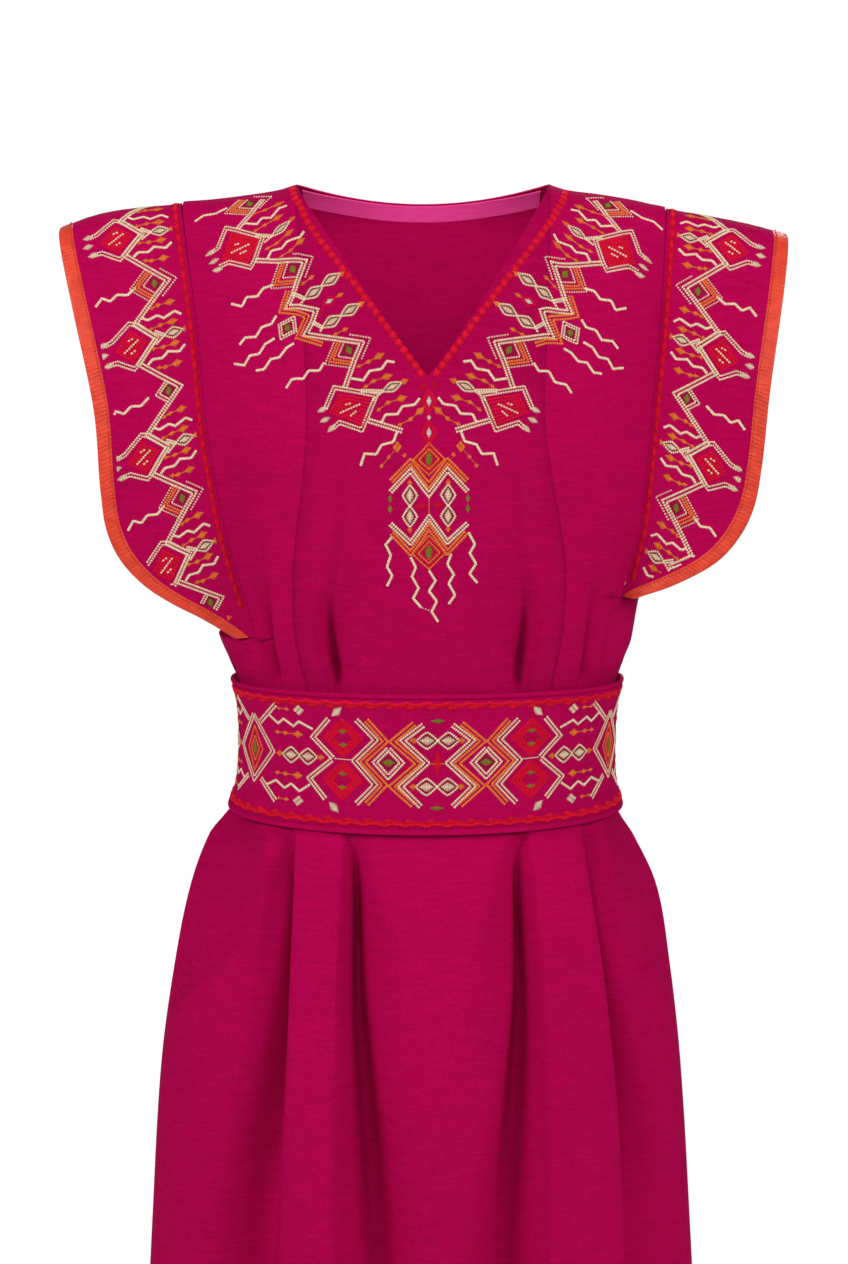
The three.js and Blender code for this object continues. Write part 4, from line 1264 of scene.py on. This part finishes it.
# %% [markdown]
# ## The band round the belt
# On the belt every shape stands in a row: leaves at the centre front, chevrons that point at a small
# diamond, two red lozenges, a branching tree and an eye at the side. The row is mirrored at the
# centre and at the eyes, so it runs round to the lap at the back.

# %% Belt band
BELT_PERIOD, BELT_SHIFT = 318, -8
BRAID_STEP = 15.5
BELT_TURNS = np.linspace(-LAP_TURN / 2, 1 + LAP_TURN / 2, 1200)
BELT_RUN = lengths(belt_point(BELT_TURNS, 0.5, BELT_OFF + BELT_THICK))
BELT_RUN = BELT_RUN - np.interp(0.5, BELT_TURNS, BELT_RUN)


def belt_cloth(u, v):
    """u is the length round the belt from the centre front, by the wearer's right, v the drop."""
    return belt_point(np.interp(u, BELT_RUN, BELT_TURNS), v / BELT_HIGH, BELT_OFF + BELT_THICK - 0.3)


def belt_period():
    """One period of the band from eye to eye: a half from the centre to the tree, mirrored, the eye
    at its end and the small leaves at its centre."""
    half, whole = Chart(), Chart()
    for v in (35, 70):
        cream_leaf(half, (8.2, v), 8.2, 6.4, 0)
        half.leaf("orange", (18.4, v), 3.2, 2.6, 0)
    for thread, apart, wide, path in (
        ("cream", 1.35, 1.0, [[11, 23], [27, 35], [8, 52], [28, 70], [12, 85]]),
        ("orange", 1.5, 1.1, [[18, 22], [35, 36], [15, 52.5], [35, 70], [18, 84]]),
        ("orange", 1.5, 1.1, [[55, 20], [40.5, 36], [58, 52], [40.5, 69], [54, 84]]),
        ("cream", 1.4, 0.95, [[63, 20], [48, 35], [65, 51.5], [48, 69], [62, 84]]),
        ("cream", 1.3, 1.0, [[38, 41.5], [27.5, 52], [38, 63], [48.5, 52], [38, 41.5]]),
    ):
        half.twin(thread, path, apart=apart, wide=wide)
    half.row("brown", [[38, 47.5], [32, 52], [38, 57], [44, 52]], gap=1.6, wide=0.45, closed=True)
    half.leaf("olive", (38, 52), 5.0, 2.8, 0)
    half.row("cream", [[66, 51], [81, 50.5]], gap=2.0, wide=0.5)
    for v in (34.5, 67):
        for size in (1, 0.85, 0.7, 0.55):
            half.lozenge("red", (74, v), 16 * size, 14.5 * size, fill=False, gap=2.0, wide=1.05)
        for off in (-5.2, 5.2):
            half.leaf("olive", (74, v + off), 3.6, 1.9, 0)
        half.row("scarlet", [[66.5, v], [81.5, v]], gap=2.0, wide=0.5)
    for path in ([[82, 50.5], [99, 35], [85, 20]], [[83, 51.5], [102, 67], [87, 82]]):
        half.twin("cream", path)
    for place, lean in (((78, 14.5), 40), ((79.5, 87.5), -40)):
        half.leaf("cream", place, 5.6, 3.0, lean)
    tails(
        half, [[99, 29], [111, 24], [116, 28], [125, 23], [131, 27], [140, 21]],
        [[101, 72], [110, 78], [118, 73], [124, 77], [133, 72], [143, 77]],
    )
    for u in (103.5, 119):
        cream_leaf(half, (u, 50.5), 8.0, 6.2, 0)
    for u in (92.5, 130):
        half.leaf("orange", (u, 50.5), 3.2, 2.6, 0)
    for v in (34, 66):
        diamonds(half, [[132, v], [124, v], [112.5, v]])
    for v in (15, 85.5):
        diamonds(half, [[128.5, v], [121, v]], sizes=((1.8, 1.4), (2.2, 1.8)))
        half.lozenge("cream", (110, v), 5.0, 4.2)
    for path in ([[131, 12], [151, 28]], [[131, 88], [150, 73]]):
        half.twin("cream", path)
    whole.twin("cream", [[159, 23], [137, 50], [159, 75], [181, 50], [159, 23]], apart=1.4, wide=0.9)
    for size, thread in ((1, "orange"), (0.78, "red"), (0.56, "orange")):
        whole.lozenge(thread, (159, 50), 10 * size, 18 * size, fill=False, gap=1.9, wide=0.8)
    whole.leaf("olive", (159, 50), 6.0, 2.8, 90)
    centre = Chart()
    for v in (20, 86):
        centre.leaf("olive", (0, v), 5.8, 1.7, 0)
    centre.lozenge("red", (0, 52.5), 2.6, 10.5)
    centre.row("orange", [[-7, 52.5], [7, 52.5]], gap=2, wide=0.5)
    period = half.mirrored()
    period.add(whole)
    period.add(centre)
    return period


def belt_band():
    """Three periods cut off where the lap begins and ends, with a scalloped braid, |sin|^0.7, and small
    leaves along both edges."""
    chart = Chart()
    for k in (-1, 0, 1):
        chart.add(belt_period(), shift=(BELT_PERIOD * k + BELT_SHIFT, 0))
    start, end = np.interp([0.062, 1.045], BELT_TURNS, BELT_RUN)
    chart.keep(lambda u, v: (u > start) & (u < end))
    u = np.arange(start, end, 1.9)
    wave = 1.9 * np.abs(np.sin(u * np.pi / BRAID_STEP)) ** 0.7
    for v, up in ((7.6, 1), (98.6, -1)):
        path = np.stack([u, v + up * wave], -1)
        chart.row("scarlet", path, gap=2.2, wide=1.1, lean=38, full=1.3)
        chart.row("red_over", path - [0, 1.5 * up], gap=2.2, wide=1.0, lean=-38, full=1.3)
        for place in np.arange(start + 7.7, end - 4, BRAID_STEP):
            chart.leaf("red_over", (place, v + 2.6 * up), 3.6, 2.2, 0, gap=1.3, power=2)
    sew("belt", chart, belt_cloth)


belt_band()

# %% [markdown]
# ## Topstitching on the bindings
# A line of small stitches in matching thread holds the satin down beside its inner edge.

# %% Topstitch
def topstitch(side):
    """Stitches 1.9 mm inside the satin's inner edge, raised onto the satin along the cloth's normal."""
    surface, width = sleeve_maps[side]
    end = BAND_HALF[side] + 2
    v = np.arange(-end, end, 2.6)
    chart = Chart()
    place = np.stack([width(v) - BINDING_WIDE + 1.9, v], -1)
    chart.lay("satin", place, np.tile([0.0, 0.85], (len(v), 1)), 0.32)
    facing, above = -SIGN[side], 0.62
    proud = lambda u, w: surface(u, w) + above * directions(surface, u, w, facing)[2]
    sew(f"{side}_binding", chart, proud, facing)


for side in SIGN:
    topstitch(side)

# %% [markdown]
# ## Materials
# The cloth is a fine matt weave, dyed a deep crimson magenta; the bindings are orange-red satin, which
# is shiny and puckers a little where it is stitched; the threads are soft cotton floss. The shader
# arithmetic is written as Python expressions on a small wrapper, so each formula stays readable.

# %% Shader arithmetic
class Value:
    """A number in a shader. Arithmetic on it adds Math nodes and gives a new Value."""

    def __init__(self, shader, socket):
        self.shader, self.socket = shader, socket

    def math(self, operation, *others):
        inputs = dict(enumerate((self, *others)))
        return self.shader.node("ShaderNodeMath", {"operation": operation}, inputs)

    def __add__(self, other):
        return self.math("ADD", other)

    def __sub__(self, other):
        return self.math("SUBTRACT", other)

    def __mul__(self, other):
        return self.math("MULTIPLY", other)

    __radd__, __rmul__ = __add__, __mul__

    def sine(self):
        return self.math("SINE")

    def floor(self):
        return self.math("FLOOR")

    def fract(self):
        return self.math("FRACT")


class Shader:
    """A material on one Principled BSDF, with one method that adds any node."""

    def __init__(self, name, **constants):
        self.material = bpy.data.materials.new(name)
        self.material.use_nodes = True
        self.tree = self.material.node_tree
        self.surface = self.tree.nodes["Principled BSDF"]
        for key, value in constants.items():
            socket = key.replace("_", " ").title().replace("Ior", "IOR")
            self.surface.inputs[socket].default_value = value

    def node(self, kind, settings, inputs, out=0):
        """Adds a node, sets its settings and feeds its inputs, and gives one of its outputs."""
        node = self.tree.nodes.new(kind)
        for key, value in settings.items():
            setattr(node, key, value)
        for key, value in inputs.items():
            self.feed(node.inputs[key], value)
        return Value(self, node.outputs[out])

    def feed(self, socket, value):
        """Links a Value to a socket, or sets a plain number or colour on it."""
        if isinstance(value, Value):
            self.tree.links.new(value.socket, socket)
        else:
            socket.default_value = value

    def uv(self):
        """Both UV coordinates, in millimetres along the cloth."""
        both = self.node("ShaderNodeUVMap", {"uv_map": "UVMap"}, {})
        return (self.node("ShaderNodeSeparateXYZ", {}, {0: both}, k) * 1000 for k in (0, 1))

    def noise(self, size, detail, stretch=(1, 1, 1)):
        """Noise between 0 and 1 whose spots are about so many millimetres wide."""
        place = self.node("ShaderNodeTexCoord", {}, {}, "Object")
        scaled = self.node("ShaderNodeVectorMath", {"operation": "MULTIPLY"}, {0: place, 1: stretch})
        inputs = {"Vector": scaled, "Scale": 1000 / size, "Detail": detail}
        return self.node("ShaderNodeTexNoise", {}, inputs)

    def blend(self, factor, first, second):
        """The first colour at 0, the second at 1."""
        return self.node("ShaderNodeMix", {"data_type": "RGBA"}, {0: factor, 6: first, 7: second}, 2)

    def finish(self, colour, height, depth, roughness=None):
        """Feeds the colour, and a bump of the height scaled to so many millimetres."""
        self.feed(self.surface.inputs["Base Color"], colour)
        normal = self.node("ShaderNodeBump", {}, {"Height": height, "Distance": depth / 1000})
        self.feed(self.surface.inputs["Normal"], normal)
        if roughness is not None:
            self.feed(self.surface.inputs["Roughness"], roughness)
        return self.material


def cloth(name, light, dark, thread=0.5, depth=0.12):
    """Plain weave: sin(u) times sin(v) at the thread's pitch, with slubs, upright streaks and soft
    patches in the dye."""
    shader = Shader(name, specular_ior_level=0.015)
    u, v = shader.uv()
    pitch = np.pi / thread
    slub = shader.noise(1.6, 1.0)
    weave = (u * pitch).sine() * (v * pitch).sine() * (0.6 + slub * 0.8)
    patch = shader.noise(120, 3.0)
    streak = shader.noise(2.2, 2.0, stretch=(0.12, 0.12, 1))
    shade = patch * 0.5 + weave * 0.16 + slub * 1.1 + streak * 0.9 - 0.83
    colour = shader.blend(shade, (*dark, 1), (*light, 1))
    wear = shader.noise(14, 3.0)
    return shader.finish(colour, weave + wear * 0.8, depth, 0.7 + wear * 0.2)


def satin(name, light, dark):
    """Satin: noise as fine as a float, puckers every few millimetres, and ribs, sin(v plus the pucker
    noise).
    Its colour goes from the dark to the light tone with the puckers' height: painted shade in their
    hollows and a painted highlight on their tops, with a little fine tone that differs at random.
    """
    shader = Shader(name, specular_ior_level=0.35)
    _, v = shader.uv()
    floats = shader.noise(0.5, 1.0)
    pucker_and_shade = shader.noise(9, 1.5)
    rib = (v * 1.9 + pucker_and_shade * 6).sine()
    # painted light: the satin is lighter where the puckers stand up and darker in their hollows
    colour = shader.blend(pucker_and_shade * 0.9 + floats * 0.25 - 0.05, (*dark, 1), (*light, 1))
    return shader.finish(colour, pucker_and_shade * 4 + rib * 0.18 + floats * 0.3, 0.5, 0.38 + floats * 0.12)


def floss(name, colour):
    """Stranded cotton: three plies that wind along the stitch, and a tone of its own for each stitch."""
    shader = Shader(f"{name}_thread", specular_ior_level=0.08)
    number, run = shader.uv()
    tone = shader.node("ShaderNodeTexWhiteNoise", {"noise_dimensions": "1D"}, {"W": number.floor()})
    ply = ((number.fract() * 2.6 + run * 0.9) * 6.2832).sine()
    deep = tuple(part * 0.72 for part in colour)
    shade = tone * 0.6 + ply * 0.16 + 0.3
    return shader.finish(shader.blend(shade, (*deep, 1), (*colour, 1)), ply, 0.1, 0.5 + tone * 0.15)


# %% [markdown]
# ## Colours
# Each cloth has a lighter and a darker tone of its dye, and each thread one tone; on the satin the two
# tones are a painted highlight and a painted shade. Threads whose name ends in "over" lie on other
# stitches, in the same or nearly the same colour as the plain thread.

# %% Paint
FLOSS = {
    "cream": (0.90, 0.75, 0.50), "cream_over": (0.90, 0.75, 0.50), "orange": (0.92, 0.24, 0.026),
    "red": (0.80, 0.004, 0.028), "red_over": (0.84, 0.006, 0.034), "scarlet": (0.64, 0.003, 0.024),
    "olive": (0.22, 0.28, 0.014), "brown": (0.12, 0.024, 0.014), "white": (0.85, 0.80, 0.72),
    "satin": (0.70, 0.055, 0.022),
}
magenta = cloth("magenta_cloth", (0.56, 0.0020, 0.094), (0.36, 0.0009, 0.060))
pink = cloth("facing_cloth", (0.80, 0.06, 0.29), (0.66, 0.04, 0.22))
# The satin's light tone is a painted highlight and its dark tone a painted shade.
glossy = satin("orange_satin", (0.84, 0.066, 0.024), (0.50, 0.022, 0.009))
threads = {name: floss(name, colour) for name, colour in FLOSS.items()}


def paint(piece, material):
    """The piece has this one material."""
    piece.data.materials.clear()
    piece.data.materials.append(material)


for piece in (front_bodice, back_bodice, front_skirt, back_skirt, belt, right_sleeve, left_sleeve):
    paint(piece, magenta)
for piece in (right_binding, left_binding):
    paint(piece, glossy)
paint(facing, pink)
for thread, piece in SEWN:
    paint(piece, threads[thread])
print("materials:", len(bpy.data.materials))

# %% [markdown]
# ## Floor, light and background
# The photograph is a plain studio one: white all round, with broad soft light from the front. A pale
# disc lies under the hem. Large area lights stand at both sides, in front, above and behind, and a
# very small one inside the neckline lights the inner back; the camera sees none of them. The world is
# white where the camera looks at it, and dimmer where it lights the dress.

# %% Floor and lights
def round_floor(radius, level, rings=7, spokes=49):
    """A disc of rings: x = r cos t, y = r sin t, z = level, for r from nothing to the radius."""
    turn = np.linspace(0, 2 * np.pi, spokes)
    r = np.linspace(0.01, radius, rings)[:, None]
    points = np.stack([r * np.cos(turn), r * np.sin(turn), level + 0 * r * turn], -1).reshape(-1, 3)
    mesh = bpy.data.meshes.new("floor")
    mesh.from_pydata(points.tolist(), [], grid_faces(rings, spokes).tolist())
    floor = bpy.data.objects.new("floor", mesh)
    bpy.context.collection.objects.link(floor)
    pale = Shader("white_floor", base_color=(0.93, 0.93, 0.93, 1), roughness=0.8, emission_strength=0.2)
    pale.surface.inputs["Emission Color"].default_value = (1, 1, 1, 1)
    mesh.materials.append(pale.material)


def soft_light(name, place, size, watts, target):
    """A square area light that faces its target and that the camera doesn't see."""
    data = bpy.data.lights.new(name, "AREA")
    data.shape, data.size, data.energy = "SQUARE", size, watts
    light = bpy.data.objects.new(name, data)
    light.location, light.visible_camera = place, False
    light.rotation_euler = (Vector(target) - Vector(place)).to_track_quat("-Z", "Y").to_euler()
    bpy.context.collection.objects.link(light)


def white_world(as_light):
    """White at full strength for the camera's own rays and at a share of it for all others."""
    world = bpy.data.worlds.new("studio")
    bpy.context.scene.world = world
    world.use_nodes = True
    tree = world.node_tree
    path = tree.nodes.new("ShaderNodeLightPath")
    strength = tree.nodes.new("ShaderNodeMapRange")
    strength.inputs["To Min"].default_value = as_light
    strength.inputs["To Max"].default_value = 1.0
    background = tree.nodes["Background"]
    background.inputs["Color"].default_value = (1, 1, 1, 1)
    tree.links.new(path.outputs["Is Camera Ray"], strength.inputs["Value"])
    tree.links.new(strength.outputs["Result"], background.inputs["Strength"])


CHEST, MIDDLE, INNER_BACK = (0, 0, -0.3), (0, 0, -0.5), (0, 0.10, -0.02)
round_floor(radius=1.3, level=-1.36)
soft_light("left", (-1.75, -1.25, 0.65), 0.9, 30, CHEST)
soft_light("right", (1.75, -1.25, 0.65), 0.9, 28, CHEST)
soft_light("front", (0.0, -2.0, 0.45), 0.7, 11, CHEST)
soft_light("top", (-0.2, -0.4, 2.2), 1.0, 5, MIDDLE)
soft_light("behind", (0.3, 3.2, 1.2), 1.5, 40, MIDDLE)
soft_light("neck", (0.0, -0.035, -0.10), 0.04, 0.10, INNER_BACK)
white_world(as_light=0.22)
bpy.context.scene.view_settings.view_transform = "Standard"
print("lights:", len(bpy.data.lights))

# %% End of the scene
print("end of the scene")
